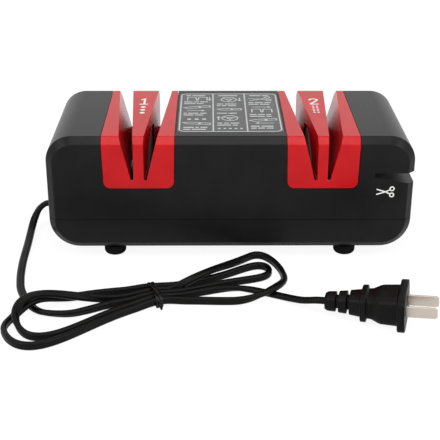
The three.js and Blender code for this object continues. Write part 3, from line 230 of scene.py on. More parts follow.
# %% The cord's frame
CORD_WIDTH = 4.6
CORD_THICKNESS = 3.4
EXIT_HEIGHT = 15.7
RELIEF_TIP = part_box("strain_relief")[0].x / MM
WAIST = (-38, -95.2)
HANK_HEADING = 17.8  # degrees
STRAND_PITCH = 4
EDGE_HEIGHT = CORD_WIDTH / 2  # of a strand that stands on edge
STRAIGHT_END = CORD_WIDTH
RUN_LENGTH = 26  # of the hank's two free ends
RUN_IN_SIDE = -1.5
RUN_OUT_SIDE = -3.4
PLUG_ENTRY = Vector((49.2, -110.9, 7.1))
PLUG_HEADING = -14.8  # degrees
PLUG_PITCH = 3.9


def direction(heading, pitch=0.0):
    h, p = math.radians(heading), math.radians(pitch)
    return Vector((math.cos(h) * math.cos(p), math.sin(h) * math.cos(p), math.sin(p)))


HANK_WAY = direction(HANK_HEADING)
HANK_SIDE = Vector((-HANK_WAY.y, HANK_WAY.x, 0))
PLUG_WAY = direction(PLUG_HEADING, PLUG_PITCH)


def hank_place(u, v, z):
    """A place from the hank's own frame: u along it, v across it and z up."""
    place = Vector((*WAIST, 0)) + HANK_WAY * u + HANK_SIDE * v
    place.z = z
    return place


print("the cord leaves at", round(RELIEF_TIP, 1), "mm along X")

# %% Lead and tail points
LEAD_POINTS = [
    (-117.8, -0.3, 12.2, 0.05),
    (-120.9, -2.4, 6.6, 0.1),
    (-121.9, -9.4, 3, 0.1),
    (-121.6, -20, 2.1, 0.1),
    (-121.1, -31, 2, 0.1),
    (-120.7, -42, 2, 0.1),
    (-120.2, -53.6, 2, 0.1),
    (-119.3, -65, 2, 0.1),
    (-118, -76.2, 2, 0.1),
    (-115.6, -88.4, 2, 0.1),
    (-111.3, -99.3, 2, 0.1),
    (-107.3, -106.8, 2, 0.15),
    (-101.5, -112.9, 2.1, 0.3),
    (-93.3, -115.4, 2.2, 0.5),
    (-85, -115.4, 2.3, 0.7),
    (-77, -112, 2.3, 0.9),
]
TAIL_POINTS = [
    (2.5, -87.1, 2.1, 0.4),
    (10, -88.6, 2, 0.1),
    (17, -91.6, 2, 0),
    (24, -95, 2, 0),
    (30.9, -99.7, 2.7, 0),
    (37.8, -105.2, 4.3, 0),
]
print("chosen points:", len(LEAD_POINTS) + len(TAIL_POINTS))

# %% [markdown]
# ## The hank's loops
# The spare cord is folded into four flat loops. Each swings out along the hank and back, bows to
# one side on the way, and comes back to another place at the tie. Where it meets a strand it rises
# over it in a long low hump and turns flat. Points could be typed for all of it, but a formula
# keeps the strands clear of each other, and its few reaches and shares can be read and changed.

# %% Loops and humps
# Slots and bows are those of the way out and of the way back. A hump is its place, its length and its rise.
HANK_LOOPS = [
    {"side": 1, "reach": 66, "lean": 7, "slots": (0, 2), "bows": (14, 14), "fullness": (9, 7), "humps": ()},
    {
        "side": -1, "reach": 87, "lean": -12.3, "slots": (2, -2), "bows": (16, 34), "fullness": (1.6, 3.2),
        "humps": ((0.34, 0.09, 3.6),),
    },
    {
        "side": 1, "reach": 72.5, "lean": 13, "slots": (-2, 1), "bows": (34, 44), "fullness": (2.3, 6),
        "humps": ((0.36, 0.12, 3.6), (0.78, 0.15, 5.7)),
    },
    {
        "side": -1, "reach": 80, "lean": -7.4, "slots": (1, -1), "bows": (22, 31), "fullness": (5, 3.4),
        "humps": ((0.377, 0.205, 7.8),),
    },
]
WAIST_LIFT = 1.2  # the tie under the strands lifts them by this much
WAIST_LIFT_LENGTH = 16
TIE_OFFSET = -4


def mix(a, b, share):
    return a + (b - a) * share


def swell(distance, length):
    """A smooth bump: 1 in the middle, and 0 from the length on."""
    return 0.5 * (1 + math.cos(math.pi * min(abs(distance) / length, 1)))


def waist_height(u):
    return WAIST_LIFT * swell(u - TIE_OFFSET, WAIST_LIFT_LENGTH)


print("the four loops reach", [loop["reach"] for loop in HANK_LOOPS], "mm")

# %% Points of the hank


def loop_point(loop, share):
    """A point on a loop, and its turn."""
    angle = math.tau * share
    out = (1 - math.cos(angle)) / 2
    passed = share - math.sin(angle) / math.tau
    half = 0 if share < 0.5 else 1
    bow = math.sin(angle) * abs(math.sin(angle / 2)) ** loop["fullness"][half]
    u = loop["side"] * loop["reach"] * out
    v = mix(*loop["slots"], passed) * STRAND_PITCH + loop["lean"] * out * out
    v -= loop["side"] * loop["bows"][half] * bow
    bumps = [(swell(share - at, length), rise) for at, length, rise in loop["humps"]]
    lifted = max([bump for bump, _ in bumps], default=0)
    height = max([bump * rise for bump, rise in bumps], default=0)
    return hank_place(u, v, EDGE_HEIGHT + max(waist_height(u), height)), 1 - lifted


def run_point(u, side, slot):
    """A point on one of the hank's free ends, which stands on edge."""
    share = abs(u) / RUN_LENGTH
    v = mix(slot * STRAND_PITCH, side, share * share * (2 - share))
    return hank_place(u, v, EDGE_HEIGHT + waist_height(u)), 1


def hank_line(loop_count=120, run_count=30):
    """The hank's points and turns, from its first free end to its last."""
    line = [run_point(RUN_LENGTH * (i / run_count - 1), RUN_IN_SIDE, 0) for i in range(run_count)]
    for loop in HANK_LOOPS:
        line += [loop_point(loop, i / loop_count) for i in range(loop_count)]
    last = HANK_LOOPS[-1]["slots"][1]
    return line + [run_point(RUN_LENGTH * i / run_count, RUN_OUT_SIDE, last) for i in range(run_count + 1)]


HANK = hank_line()
print("hank from", [round(c, 1) for c in HANK[0][0]], "to", [round(c, 1) for c in HANK[-1][0]])

# %% [markdown]
# ## One line from end to end
# The chosen points are joined by the same smooth curve that the model uses, a centripetal
# Catmull-Rom spline. It goes through every point, and unlike the plain kind it neither loops nor
# overshoots where points lie close together.

# %% Joining the stretches
CORD_STEP = 1.1
INTO_RELIEF = 4  # the cord starts this far inside the strain relief
FIRST_BEND = (2.6, 15.5)  # beyond the strain relief's tip, and its height
INTO_PLUG = 2


def spline(points, count=12):
    """A centripetal Catmull-Rom spline through points of (x, y, z, turn)."""
    spots = [Vector(p[:3]) for p in points]
    spots = [spots[0] * 2 - spots[1]] + spots + [spots[-1] * 2 - spots[-2]]
    line = []
    for i in range(1, len(spots) - 2):
        a, b, c, d = spots[i - 1 : i + 3]
        ab, bc, cd = (max((q - p).length ** 0.5, 0.01) for p, q in ((a, b), (b, c), (c, d)))
        start = ((b - a) / ab - (c - a) / (ab + bc) + (c - b) / bc) * bc
        end = ((c - b) / bc - (d - b) / (bc + cd) + (d - c) / cd) * bc
        for k in range(count):
            t = k / count
            square, cube = t * t, t * t * t
            place = b * (2 * cube - 3 * square + 1) + start * (cube - 2 * square + t)
            place += c * (3 * square - 2 * cube) + end * (cube - square)
            line.append((place, mix(points[i - 1][3], points[i][3], t)))
    return line + [(spots[-2], points[-1][3])]


def spaced(line, step):
    """The same line with its points a step apart, as places and turns, and its length."""
    reach = [0.0]
    for (a, _), (b, _) in zip(line, line[1:]):
        reach.append(reach[-1] + (b - a).length)
    count = round(reach[-1] / step)
    places, turns, k = [], [], 0
    for i in range(count + 1):
        goal = reach[-1] * i / count
        while k + 2 < len(line) and reach[k + 1] < goal:
            k += 1
        share = (goal - reach[k]) / max(reach[k + 1] - reach[k], 1e-9)
        places.append(line[k][0].lerp(line[k + 1][0], share))
        turns.append(mix(line[k][1], line[k + 1][1], share))
    return places, turns, reach[-1]


print("the chosen lead points span", round(spaced(spline(LEAD_POINTS), CORD_STEP)[2]), "mm")

# %% The whole cord


def cord_line():
    """The whole cord: lead, hank and tail."""
    way_in = (HANK[1][0] - HANK[0][0]).normalized()
    way_out = (HANK[-1][0] - HANK[-2][0]).normalized()
    lead_end = HANK[0][0] - way_in * STRAIGHT_END
    tail_start = HANK[-1][0] + way_out * STRAIGHT_END
    out, height = FIRST_BEND
    lead = [(RELIEF_TIP + INTO_RELIEF, 0, EXIT_HEIGHT, 0), (RELIEF_TIP, 0, EXIT_HEIGHT, 0)]
    lead += [(RELIEF_TIP - out, 0, height, 0), *LEAD_POINTS, (*lead_end, 1), (*HANK[0][0], 1)]
    tail = [(*HANK[-1][0], 1), (*tail_start, 0.9), *TAIL_POINTS]
    tail += [(*(PLUG_ENTRY + PLUG_WAY * along), 0) for along in (-STRAIGHT_END, 0, INTO_PLUG)]
    return spline(lead)[:-1] + HANK[:-1] + spline(tail)


CORD_PLACES, CORD_TURNS, CORD_LENGTH = spaced(cord_line(), CORD_STEP)
print("cord length", round(CORD_LENGTH), "mm in", len(CORD_PLACES), "steps")

# %% [markdown]
# ## The cord as a swept section
# A flat twin lead has two rounded sides with a shallow groove between them, where the two
# conductors can be torn apart. A curve object could sweep a profile too, but it would turn it at
# its own will, so the section is swept in mesh code, one ring for each step, with the turn that the
# route gives.

# %% Sweeping the twin section
SECTION_POINTS = 28
SECTION_SQUARENESS = 0.85  # 1 is an ellipse
GROOVE_SHARE = 0.2  # of the thickness, on each face
GROOVE_WIDTH = 0.5


def twin_section():
    """Points across the cord: along its width and along its thickness."""
    points = []
    for i in range(SECTION_POINTS):
        angle = math.tau * (i + 0.5) / SECTION_POINTS
        c, s = math.cos(angle), math.sin(angle)
        across = CORD_WIDTH / 2 * math.copysign(abs(c) ** SECTION_SQUARENESS, c)
        depth = CORD_THICKNESS / 2 * math.copysign(abs(s) ** SECTION_SQUARENESS, s)
        points.append((across, depth * (1 - GROOVE_SHARE * math.exp(-((across / GROOVE_WIDTH) ** 2)))))
    return points


WIRE_ANGLE = 60  # a cord or wire is smooth over every edge that is flatter than this


def sweep(name, places, turns, section):
    """A closed tube of the section along the places, its width level where the turn is 0."""
    rings = []
    for i, place in enumerate(places):
        way = (places[min(i + 1, len(places) - 1)] - places[max(i - 1, 0)]).normalized()
        level = Vector((way.y, -way.x, 0)).normalized()
        angle = turns[i] * math.pi / 2
        wide = level * math.cos(angle) + level.cross(way) * math.sin(angle)
        thin = wide.cross(way)
        rings.append([place + wide * w + thin * t for w, t in section])
    return skin(name, rings, WIRE_ANGLE)


cord = dress(sweep("mains_cord", CORD_PLACES, CORD_TURNS, twin_section()), JACKET)
print("cord faces", len(cord.data.polygons))

# %% [markdown]
# ## Solids that are joined and cut
# A moulded shell is a block of plastic with spaces taken out of it. It could be modelled face by
# face, but it is made here as it is drawn for the mould: closed forms joined, clipped and cut by a
# boolean. Rounded edges belong in the forms themselves, as arcs in their outlines, because a
# boolean keeps them exactly.

# %% Booleans
GAP = 0.3  # between two pieces that seat on each other
OVERRUN = 1  # how far a cutter runs past the face that it opens


def bake_modifiers(piece):
    """Turns a piece with modifiers into a plain mesh."""
    bpy.context.view_layer.update()
    view = bpy.context.evaluated_depsgraph_get()
    mesh = bpy.data.meshes.new_from_object(piece.evaluated_get(view))
    piece.modifiers.clear()
    piece.data = mesh


def combine(piece, tool, operation):
    """Joins, clips or cuts a piece by a tool, which is used up."""
    change = piece.modifiers.new("boolean", "BOOLEAN")
    change.solver = "MANIFOLD"
    change.operation = operation
    change.object = tool
    bake_modifiers(piece)
    bpy.data.objects.remove(tool)
    return piece


def join(piece, tool):
    return combine(piece, tool, "UNION")


def clip(piece, tool):
    return combine(piece, tool, "INTERSECT")


def cut(piece, tool):
    return combine(piece, tool, "DIFFERENCE")


print("pieces that seat on each other stand", GAP, "mm apart")

# %% [markdown]
# ## Outlines with rounded corners
# Moulded parts have a radius in every corner, so that the plastic flows. A bevel could round them
# afterwards, but large radii come out cleaner when they are part of the outline. One function turns
# corners and radii into points, and another turns a profile about an axis, as a lathe does.

# %% Outlines and boxes


def rounded(corners, steps=12):
    """Points of a closed outline whose corners are (x, y, radius)."""
    points = []
    for i, (x, y, radius) in enumerate(corners):
        here = Vector((x, y))
        if radius == 0:
            points.append(here)
            continue
        back = (Vector(corners[i - 1][:2]) - here).normalized()
        on = (Vector(corners[(i + 1) % len(corners)][:2]) - here).normalized()
        half = math.acos(max(-1, min(1, back.dot(on)))) / 2
        centre = here + (back + on).normalized() * (radius / math.sin(half))
        start = here + back * (radius / math.tan(half)) - centre
        end = here + on * (radius / math.tan(half)) - centre
        whole = math.atan2(start.x * end.y - start.y * end.x, start.dot(end))
        for k in range(steps + 1):
            c, s = math.cos(whole * k / steps), math.sin(whole * k / steps)
            points.append(centre + Vector((start.x * c - start.y * s, start.x * s + start.y * c)))
    return points


def block(name, low, high):
    """A plain box between two of its corners."""
    ring = [(low[0], low[1]), (high[0], low[1]), (high[0], high[1]), (low[0], high[1])]
    return skin(name, [[(x, y, z) for x, y in ring] for z in (low[2], high[2])])


print("a rounded square has", len(rounded([(0, 0, 1), (4, 0, 1), (4, 4, 1), (0, 4, 1)])), "points")

# %% Turned forms
TURNED_SIDES = 96


def lathe(name, profile, axis, centre, sides=TURNED_SIDES):
    """A profile of (radius, place along the axis) turned about an axis; a radius of 0 closes an end."""
    around = {"x": (1, 2, 0), "z": (0, 1, 2)}[axis]
    verts, rows = [], []
    for radius, along in profile:
        row = []
        for i in range(1 if radius == 0 else sides):
            angle = math.tau * i / sides
            spot = (radius * math.cos(angle), radius * math.sin(angle), along)
            point = [0.0, 0.0, 0.0]
            for value, index in zip(spot, around):
                point[index] = value + centre[index]
            row.append(len(verts))
            verts.append(point)
        rows.append(row)
    closed = profile[0][0] > 0
    faces = []
    for a, b in zip(rows, rows[1:] + (rows[:1] if closed else [])):
        for i in range(sides):
            j = (i + 1) % sides
            face = [a[i % len(a)], a[j % len(a)], b[j % len(b)], b[i % len(b)]]
            face = [v for k, v in enumerate(face) if v not in face[:k]]
            if len(face) > 2:
                faces.append(face)
    return finish_mesh(name, verts, faces)


def rod(name, radius, low, high, axis, centre, sides=TURNED_SIDES):
    return lathe(name, [(0, low), (radius, low), (radius, high), (0, high)], axis, centre, sides)


print("a large turned form has", TURNED_SIDES, "sides")

# %% [markdown]
# ## Moulded black and red ABS
# Both shells are ABS with a fine spark-eroded texture, and the guides are the same plastic from a
# polished mould. Glossy plastic could be one roughness, but the real texture scatters the light a
# little, so the top mirrors the bright room only at a low angle and turns grey, while the front
# stays nearly black. One function serves both, because only the colours, the gloss and the depth of
# the texture differ.

# %% Black and red ABS


def moulded_plastic(name, dark, light, roughness, level, relief):
    """Injection-moulded ABS: broad colour drift, and a fine skin that also varies the gloss."""
    material = blank_material(name)
    place = add(material, "ShaderNodeTexCoord").outputs["Object"]
    # The pigment drifts over about 15 mm.
    drift = add(material, "ShaderNodeTexNoise", {"Scale": patches(15), "Detail": 3}, {"Vector": place})
    contrast = {"From Min": 0.35, "From Max": 0.65}
    drift = add(material, "ShaderNodeMapRange", contrast, {"Value": drift.outputs["Fac"]}).outputs["Result"]
    colours = {"data_type": "RGBA", 6: linear(dark), 7: linear(light)}
    colour = add(material, "ShaderNodeMix", colours, {0: drift}).outputs[2]
    # Spark erosion leaves pits of 0.05 mm; they are drawn 0.4 mm wide, so that a picture can hold them.
    pits = add(material, "ShaderNodeTexNoise", {"Scale": patches(0.4), "Detail": 3}, {"Vector": place})
    pits = pits.outputs["Fac"]
    gloss = {"From Min": 0.3, "From Max": 0.7, "To Min": roughness[0], "To Max": roughness[1]}
    rough = add(material, "ShaderNodeMapRange", gloss, {"Value": pits}).outputs["Result"]
    bump = add(material, "ShaderNodeBump", {"Distance": relief * MM}, {"Height": pits}).outputs["Normal"]
    links = {"Base Color": colour, "Roughness": rough, "Normal": bump}
    shader = add(material, "ShaderNodeBsdfPrincipled", {"IOR": 1.5, "Specular IOR Level": level}, links)
    add(material, "ShaderNodeOutputMaterial", None, {"Surface": shader.outputs["BSDF"]})
    return material


BLACK_ABS = moulded_plastic("spark_textured_black_abs", "#0d0d0d", "#121212", (0.28, 0.38), 0.15, 0.008)
RED_ABS = moulded_plastic("polished_red_abs", "#b91016", "#c2141a", (0.16, 0.27), 0.16, 0.0015)
print("made", BLACK_ABS.name, "and", RED_ABS.name)

# %% [markdown]
# ## The housing's outer form
# Seen from the front the housing is a rectangle with large round corners, and its front and back
# edges are chamfered. A bevel on a box could not give both, so the form is a stack of outlines from
# front to back. Each is drawn in by what the chamfer takes away there, and the chamfer's own two
# edges are rounded, which gives the soft line of light along them.

# %% Housing form
LENGTH = 210
DEPTH = 94
HEIGHT = 75
FOOT_HEIGHT = 6.7
TOP_RADIUS = 15
BOTTOM_RADIUS = 17.5
CHAMFER = 4
CHAMFER_SOFTNESS = 1.6  # radius of the chamfer's two edges
LEAST_SOFTNESS = 0.2
EDGE_STEPS = 5
INNER_STEPS = 12  # of the corners of forms that don't show
WALL = 2.5
SEAM_HEIGHT = 25.4


def depth_profile(inset):
    """Places along Y, and how far the outline is drawn in there by the chamfer."""
    face = DEPTH / 2 - inset
    chamfer = CHAMFER - inset * (2 - math.sqrt(2))
    soft = max(CHAMFER_SOFTNESS - inset / 2, LEAST_SOFTNESS)
    # The last three corners only give the first two their directions.
    corners = [(-face, chamfer, soft), (chamfer - face, 0, soft), (0, 0, 0), (0, face, 0), (-face, face, 0)]
    front = [(p.x, p.y) for p in rounded(corners, EDGE_STEPS)[: 2 * (EDGE_STEPS + 1)]]
    return front + [(-y, drawn) for y, drawn in reversed(front)]


def housing_form(name, inset=0, corner_steps=20):
    """The housing's outer form, drawn in on all sides by the inset."""
    rings = []
    for y, drawn in depth_profile(inset):
        d = inset + drawn
        x, low, high = LENGTH / 2 - d, FOOT_HEIGHT + d, HEIGHT - d
        corners = [(-x, low, BOTTOM_RADIUS - d), (x, low, BOTTOM_RADIUS - d)]
        corners += [(x, high, TOP_RADIUS - d), (-x, high, TOP_RADIUS - d)]
        rings.append([(p.x, y, p.y) for p in rounded(corners, corner_steps)])
    return skin(name, rings)


def slab(name, low, high):
    """The part of space between two heights, wider than the housing."""
    x, y = LENGTH / 2 + OVERRUN, DEPTH / 2 + OVERRUN
    return block(name, (-x, -y, low), (x, y, high))


print("the housing is", LENGTH, "by", DEPTH, "by", HEIGHT, "mm, on feet of", FOOT_HEIGHT)

# %% [markdown]
# ## Saddles and slots
# Each guide fills a saddle that leans in a little on its way down. Its two slots stand upright
# against the middle rib and lean away from it on the other wall, and the rib grows wider to the
# back, which turns the blade. Each of these spaces is a form that is wider at one end, so it is a
# skin over two rings, one in front of the housing and one behind it.

# %% Saddles
GUIDE_INNER = 31.7
GUIDE_OUTER = 73
GUIDE_DRAFT = 0.7
GUIDE_BOTTOM = 45
GUIDE_RADIUS = 4
ENDS_Y = (-DEPTH / 2 - OVERRUN, DEPTH / 2 + OVERRUN)


def saddle(name, side, margin):
    low, top = GUIDE_BOTTOM - margin, HEIGHT + OVERRUN
    inner, outer = GUIDE_INNER - margin, GUIDE_OUTER + margin
    corners = [
        (side * inner, top, 0),
        (side * (inner + GUIDE_DRAFT), low, GUIDE_RADIUS + margin),
        (side * (outer - GUIDE_DRAFT), low, GUIDE_RADIUS + margin),
        (side * outer, top, 0),
    ]
    outline = rounded(corners, steps=10)
    return skin(name, [[(p.x, y, p.y) for p in outline] for y in ENDS_Y])


print("each guide is", GUIDE_OUTER - GUIDE_INNER, "mm wide")

# %% Sizes of ribs and slots
RIB_CENTRE = 52.2
RIB_WIDTHS = (5.7, 16.8)  # at the front and the back
SLOT_MOUTHS = (7.8, 8.4)
SLOT_FLOOR = 49.7
SLOT_FLOOR_WIDTH = 1.6
SLOT_WALL = 2.2
SLOT_LIP = 1
TAB_HALF_WIDTH = 8
TAB_THICKNESS = 1.8
TAB_DROP = 6
TAB_ROOT = 3


def along_depth(pair, y):
    return mix(*pair, (y + DEPTH / 2) / DEPTH)


def slot_width(y, z):
    return mix(SLOT_FLOOR_WIDTH, along_depth(SLOT_MOUTHS, y), (z - SLOT_FLOOR) / (HEIGHT - SLOT_FLOOR))


def trapezoid(y, low, high, at_low, at_high):
    """A ring across the housing: two places along X at a low height, and two at a high one."""
    return [(at_low[0], y, low), (at_low[1], y, low), (at_high[1], y, high), (at_high[0], y, high)]


print("a slot is", round(slot_width(0, HEIGHT), 1), "mm wide at its mouth")

# %% Slots, their walls and their floor


def slot_cutter(name, side, away):
    rings, high = [], HEIGHT + OVERRUN
    for y in ENDS_Y:
        face = side * RIB_CENTRE + away * along_depth(RIB_WIDTHS, y) / 2
        floor_edge, top_edge = (face + away * slot_width(y, z) for z in (SLOT_FLOOR, high))
        rings.append(trapezoid(y, SLOT_FLOOR, high, (face, floor_edge), (face, top_edge)))
    return skin(name, rings)


def slot_block(name, side):
    """The rib with both slots and their outer walls."""
    rings, middle = [], side * RIB_CENTRE
    low, high = SLOT_FLOOR - SLOT_WALL, HEIGHT + OVERRUN
    for y in ENDS_Y:
        near, far = (along_depth(RIB_WIDTHS, y) / 2 + slot_width(y, z) + SLOT_WALL for z in (low, high))
        rings.append(trapezoid(y, low, high, (middle - near, middle + near), (middle - far, middle + far)))
    return skin(name, rings)


def dust_opening(name, side, away):
    """The floor of a slot is open between the snap tabs, so that grinding dust falls into the base.

    From the opening the floor climbs to a thin lip in each wall.
    """
    reach = DEPTH / 2 - WALL - GAP - TAB_THICKNESS
    low, high = SLOT_FLOOR - SLOT_WALL - OVERRUN, SLOT_FLOOR + OVERRUN
    lip_edge = DEPTH / 2 - SLOT_LIP
    high_reach = reach + (lip_edge - reach) * (high - low) / (SLOT_FLOOR - low)
    rings = []
    for end in (-1, 1):
        face = side * RIB_CENTRE + away * along_depth(RIB_WIDTHS, end * reach) / 2
        far = face + away * SLOT_FLOOR_WIDTH
        y, high_y = end * reach, end * high_reach
        rings.append([(face, y, low), (far, y, low), (far, high_y, high), (face, high_y, high)])
    return skin(name, rings)


print("a slot is", SLOT_FLOOR_WIDTH, "mm wide at its floor")

# %% [markdown]
# ## Guides
# A guide is a shell of red plastic with the rib standing in it, and a tongue at each end that snaps
# in behind the housing's wall. It is made as the mould makes it: the housing's own outer form, kept
# inside the saddle, hollowed from below, with the slots and the wheel's space cut last. So its
# faces carry on those of the housing without a step.

# %% Breaking edges and placing pieces
EDGE_ANGLE = 40
SOFT_ANGLE = 35
MOULDED_BREAK = 0.3  # at most, because a bevel stays narrower where faces are small


def break_edges(piece, width, angle=EDGE_ANGLE):
    """Takes the sharpness off a piece's edges, as a mould does, and shades it."""
    bevel = piece.modifiers.new("edges", "BEVEL")
    bevel.width = width * MM
    bevel.segments = 2
    bevel.limit_method = "ANGLE"
    bevel.angle_limit = math.radians(angle)
    bevel.miter_outer = "MITER_ARC"
    bake_modifiers(piece)
    soften(piece, SOFT_ANGLE)
    # Large faces rule the shading, so that a flat wall stays flat up to its rounded edge.
    piece.modifiers.new("flat_walls", "WEIGHTED_NORMAL").keep_sharp = True
    bake_modifiers(piece)


def place_piece(piece, material, nodes=(), body="housing"):
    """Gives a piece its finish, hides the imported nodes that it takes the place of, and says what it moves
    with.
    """
    dress(piece, material)
    if nodes:
        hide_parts(*nodes)
    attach(piece, body)
    print(piece.name, "has", len(piece.data.polygons), "faces")
    return piece


# %% Making the guides
SHAFT_HEIGHT = 38
WHEEL_RADIUS = 27
WHEEL_HALF = 5.2
WHEEL_RUN = 1.2  # running clearance round a wheel
WHEEL_SIDE_RUN = 1


def snap_tab(piece, side, facing):
    """Adds a tongue that hooks behind the housing's wall, and the root that carries it."""
    inside = DEPTH / 2 - WALL
    x0, x1 = side * RIB_CENTRE - TAB_HALF_WIDTH, side * RIB_CENTRE + TAB_HALF_WIDTH
    low, high = GUIDE_BOTTOM - TAB_DROP, GUIDE_BOTTOM + TAB_ROOT
    for name, outer, bottom in (("tongue", inside - GAP, low), ("root", inside + GAP, GUIDE_BOTTOM + GAP)):
        y0, y1 = sorted((facing * outer, facing * (inside - GAP - TAB_THICKNESS)))
        join(piece, block(name, (x0, y0, bottom), (x1, y1, high)))


def guide(name, side):
    low, high = sorted(side * x for x in (GUIDE_INNER + GUIDE_DRAFT + WALL, GUIDE_OUTER - GUIDE_DRAFT - WALL))
    pocket = block("pocket", (low, -DEPTH / 2, GUIDE_BOTTOM - OVERRUN), (high, DEPTH / 2, HEIGHT))
    clip(pocket, housing_form("inner_form", WALL, corner_steps=10))
    cut(pocket, slot_block("slot_block", side))
    piece = clip(housing_form(name), saddle("saddle", side, 0))
    cut(piece, pocket)
    for away in (-1, 1):
        cut(piece, slot_cutter("slot", side, away))
        cut(piece, dust_opening("dust_opening", side, away))
    reach, centre = WHEEL_HALF + WHEEL_SIDE_RUN, (side * RIB_CENTRE, 0, SHAFT_HEIGHT)
    cut(piece, rod("wheel_space", WHEEL_RADIUS + WHEEL_RUN, -reach, reach, "x", centre))
    for facing in (-1, 1):
        snap_tab(piece, side, facing)
    break_edges(piece, MOULDED_BREAK)
    return piece


for grade, side in (("coarse", -1), ("fine", 1)):
    place_piece(guide(grade + "_guide_shell", side), RED_ABS, [grade + "_guide"])

# %% [markdown]
# ## Upper housing
# The upper moulding is a shell with walls of 2.5 mm. It is opened for the two guides, the plate,
# the switch and the notch, and it carries the walls of the notch and the pocket round the switch.
# The space inside it is made first, with those walls left out of it, so that one cut hollows the
# shell and leaves all walls standing.

# %% Rounded slabs and corner places
SWITCH_HEIGHT = 45
PIN_SIDES = 32


def slab_outline(half_x, half_y, radius, centre=(0, 0)):
    x, y = centre
    signs = [(-1, -1), (1, -1), (1, 1), (-1, 1)]
    return rounded([(x + sx * half_x, y + sy * half_y, radius) for sx, sy in signs], steps=8)


def upright(name, half_x, half_y, radius, low, high, centre=(0, 0)):
    """A rounded slab between two heights."""
    outline = slab_outline(half_x, half_y, radius, centre)
    return skin(name, [[(p.x, p.y, z) for p in outline] for z in (low, high)])


def facing_back(name, halves, radius, low, high):
    """A rounded slab about the switch, between two places along Y. Its outline is seen from the back."""
    outline = slab_outline(*halves, radius, (0, SWITCH_HEIGHT))
    return skin(name, [[(p.x, y, p.y) for p in outline] for y in (low, high)])


def four_places(place):
    """A place in the back right quarter of the housing, and its mirror images in the others."""
    x, y = place
    return [(sx * x, sy * y, 0) for sy in (-1, 1) for sx in (-1, 1)]


def pins(operation, piece, name, radius, low, high, places):
    """Joins or cuts upright rods at some places."""
    for place in places:
        operation(piece, rod(name, radius, low, high, "z", place, PIN_SIDES))


print("four places:", four_places((1, 1)))

# %% Notch and scissors wheel's space
NOTCH_TIP = 82
NOTCH_TOP = 54
NOTCH_TIP_HEIGHT = 2.5
NOTCH_MOUTH_HEIGHT = 6.7
NOTCH_WALL = 2
SCISSORS_ENDS = (84, 90)  # the wheel's two faces along X
SCISSORS_RADIUS = 14.3
SCISSORS_RUN = 0.9


def notch_cutter(name, margin):
    """The scissors notch, which narrows to its tip, with a margin round it."""
    mouth = LENGTH / 2 + OVERRUN
    slope = (NOTCH_MOUTH_HEIGHT - NOTCH_TIP_HEIGHT) / (LENGTH / 2 - NOTCH_TIP)
    outline = [
        (NOTCH_TIP - margin, NOTCH_TOP - NOTCH_TIP_HEIGHT - margin),
        (mouth, NOTCH_TOP - NOTCH_MOUTH_HEIGHT - slope * OVERRUN - margin),
        (mouth, NOTCH_TOP + margin),
        (NOTCH_TIP - margin, NOTCH_TOP + margin),
    ]
    return skin(name, [[(x, y, z) for x, z in outline] for y in ENDS_Y])


def scissors_space():
    left, right = SCISSORS_ENDS
    radius, centre = SCISSORS_RADIUS + SCISSORS_RUN, (0, 0, SHAFT_HEIGHT)
    return rod("scissors_space", radius, left - SCISSORS_RUN, right + SCISSORS_RUN, "x", centre)


print("the notch is", LENGTH / 2 - NOTCH_TIP, "mm deep")

# %% Space inside the upper housing
PLATE_HALF = 30.6
PLATE_FRONT = -35.6
PLATE_BACK = 37.6
PLATE_THICKNESS = 0.8
PLATE_RADIUS = 2
PLATE_MIDDLE = (PLATE_BACK + PLATE_FRONT) / 2
PLATE_HALF_DEPTH = (PLATE_BACK - PLATE_FRONT) / 2
RECESS_HALF = (12.5, 9.5)
RECESS_DEPTH = 5
RECESS_WALL = 2
RECESS_RADIUS = 2.5
SWITCH_BODY_HALF = (9.9, 6.8)
SWITCH_BODY_DEPTH = 15
SWITCH_BODY_RADIUS = 0.5
SCREW_PLACE = (80, 36.5)
SCREW_SHANK = 1.5
SCREW_HOLE_TOP = 35.7
BOSS_RADIUS = 4.2
SHELL_BREAK = 0.35


def upper_space():
    """The space inside the upper housing, without the walls and bosses that stand in it."""
    back = DEPTH / 2
    space = clip(housing_form("inner", WALL, INNER_STEPS), slab("upper_space", SEAM_HEIGHT - OVERRUN, HEIGHT))
    halves = [half + RECESS_WALL for half in RECESS_HALF]
    cut(space, facing_back("pocket", halves, RECESS_WALL, back - RECESS_DEPTH - RECESS_WALL, back))
    cut(space, notch_cutter("notch_walls", NOTCH_WALL))
    pins(cut, space, "boss", BOSS_RADIUS, SEAM_HEIGHT - 2 * OVERRUN, HEIGHT, four_places(SCREW_PLACE))
    return space


print("the plate is", 2 * PLATE_HALF, "by", 2 * PLATE_HALF_DEPTH, "mm")

# %% Making the upper housing


def upper_housing():
    back = DEPTH / 2
    shell = clip(housing_form("upper_shell"), slab("upper_part", SEAM_HEIGHT + GAP / 2, HEIGHT + OVERRUN))
    cut(shell, upper_space())
    for side in (-1, 1):
        cut(shell, saddle("saddle", side, GAP))
    cut(shell, facing_back("recess", RECESS_HALF, RECESS_RADIUS, back - RECESS_DEPTH, back + OVERRUN))
    halves = [half + GAP for half in SWITCH_BODY_HALF]
    cut(shell, facing_back("switch_hole", halves, SWITCH_BODY_RADIUS, back - SWITCH_BODY_DEPTH, back))
    sides = (PLATE_HALF + GAP, PLATE_HALF_DEPTH + GAP, PLATE_RADIUS + GAP)
    bed = HEIGHT - PLATE_THICKNESS - GAP
    cut(shell, upright("plate_recess", *sides, bed, HEIGHT + OVERRUN, (0, PLATE_MIDDLE)))
    cut(shell, notch_cutter("notch", 0))
    cut(shell, scissors_space())
    low, places = SEAM_HEIGHT - OVERRUN, four_places(SCREW_PLACE)
    pins(cut, shell, "pilot_hole", SCREW_SHANK + GAP, low, SCREW_HOLE_TOP, places)
    break_edges(shell, SHELL_BREAK)
    return shell


place_piece(upper_housing(), BLACK_ABS, ["upper_housing"])

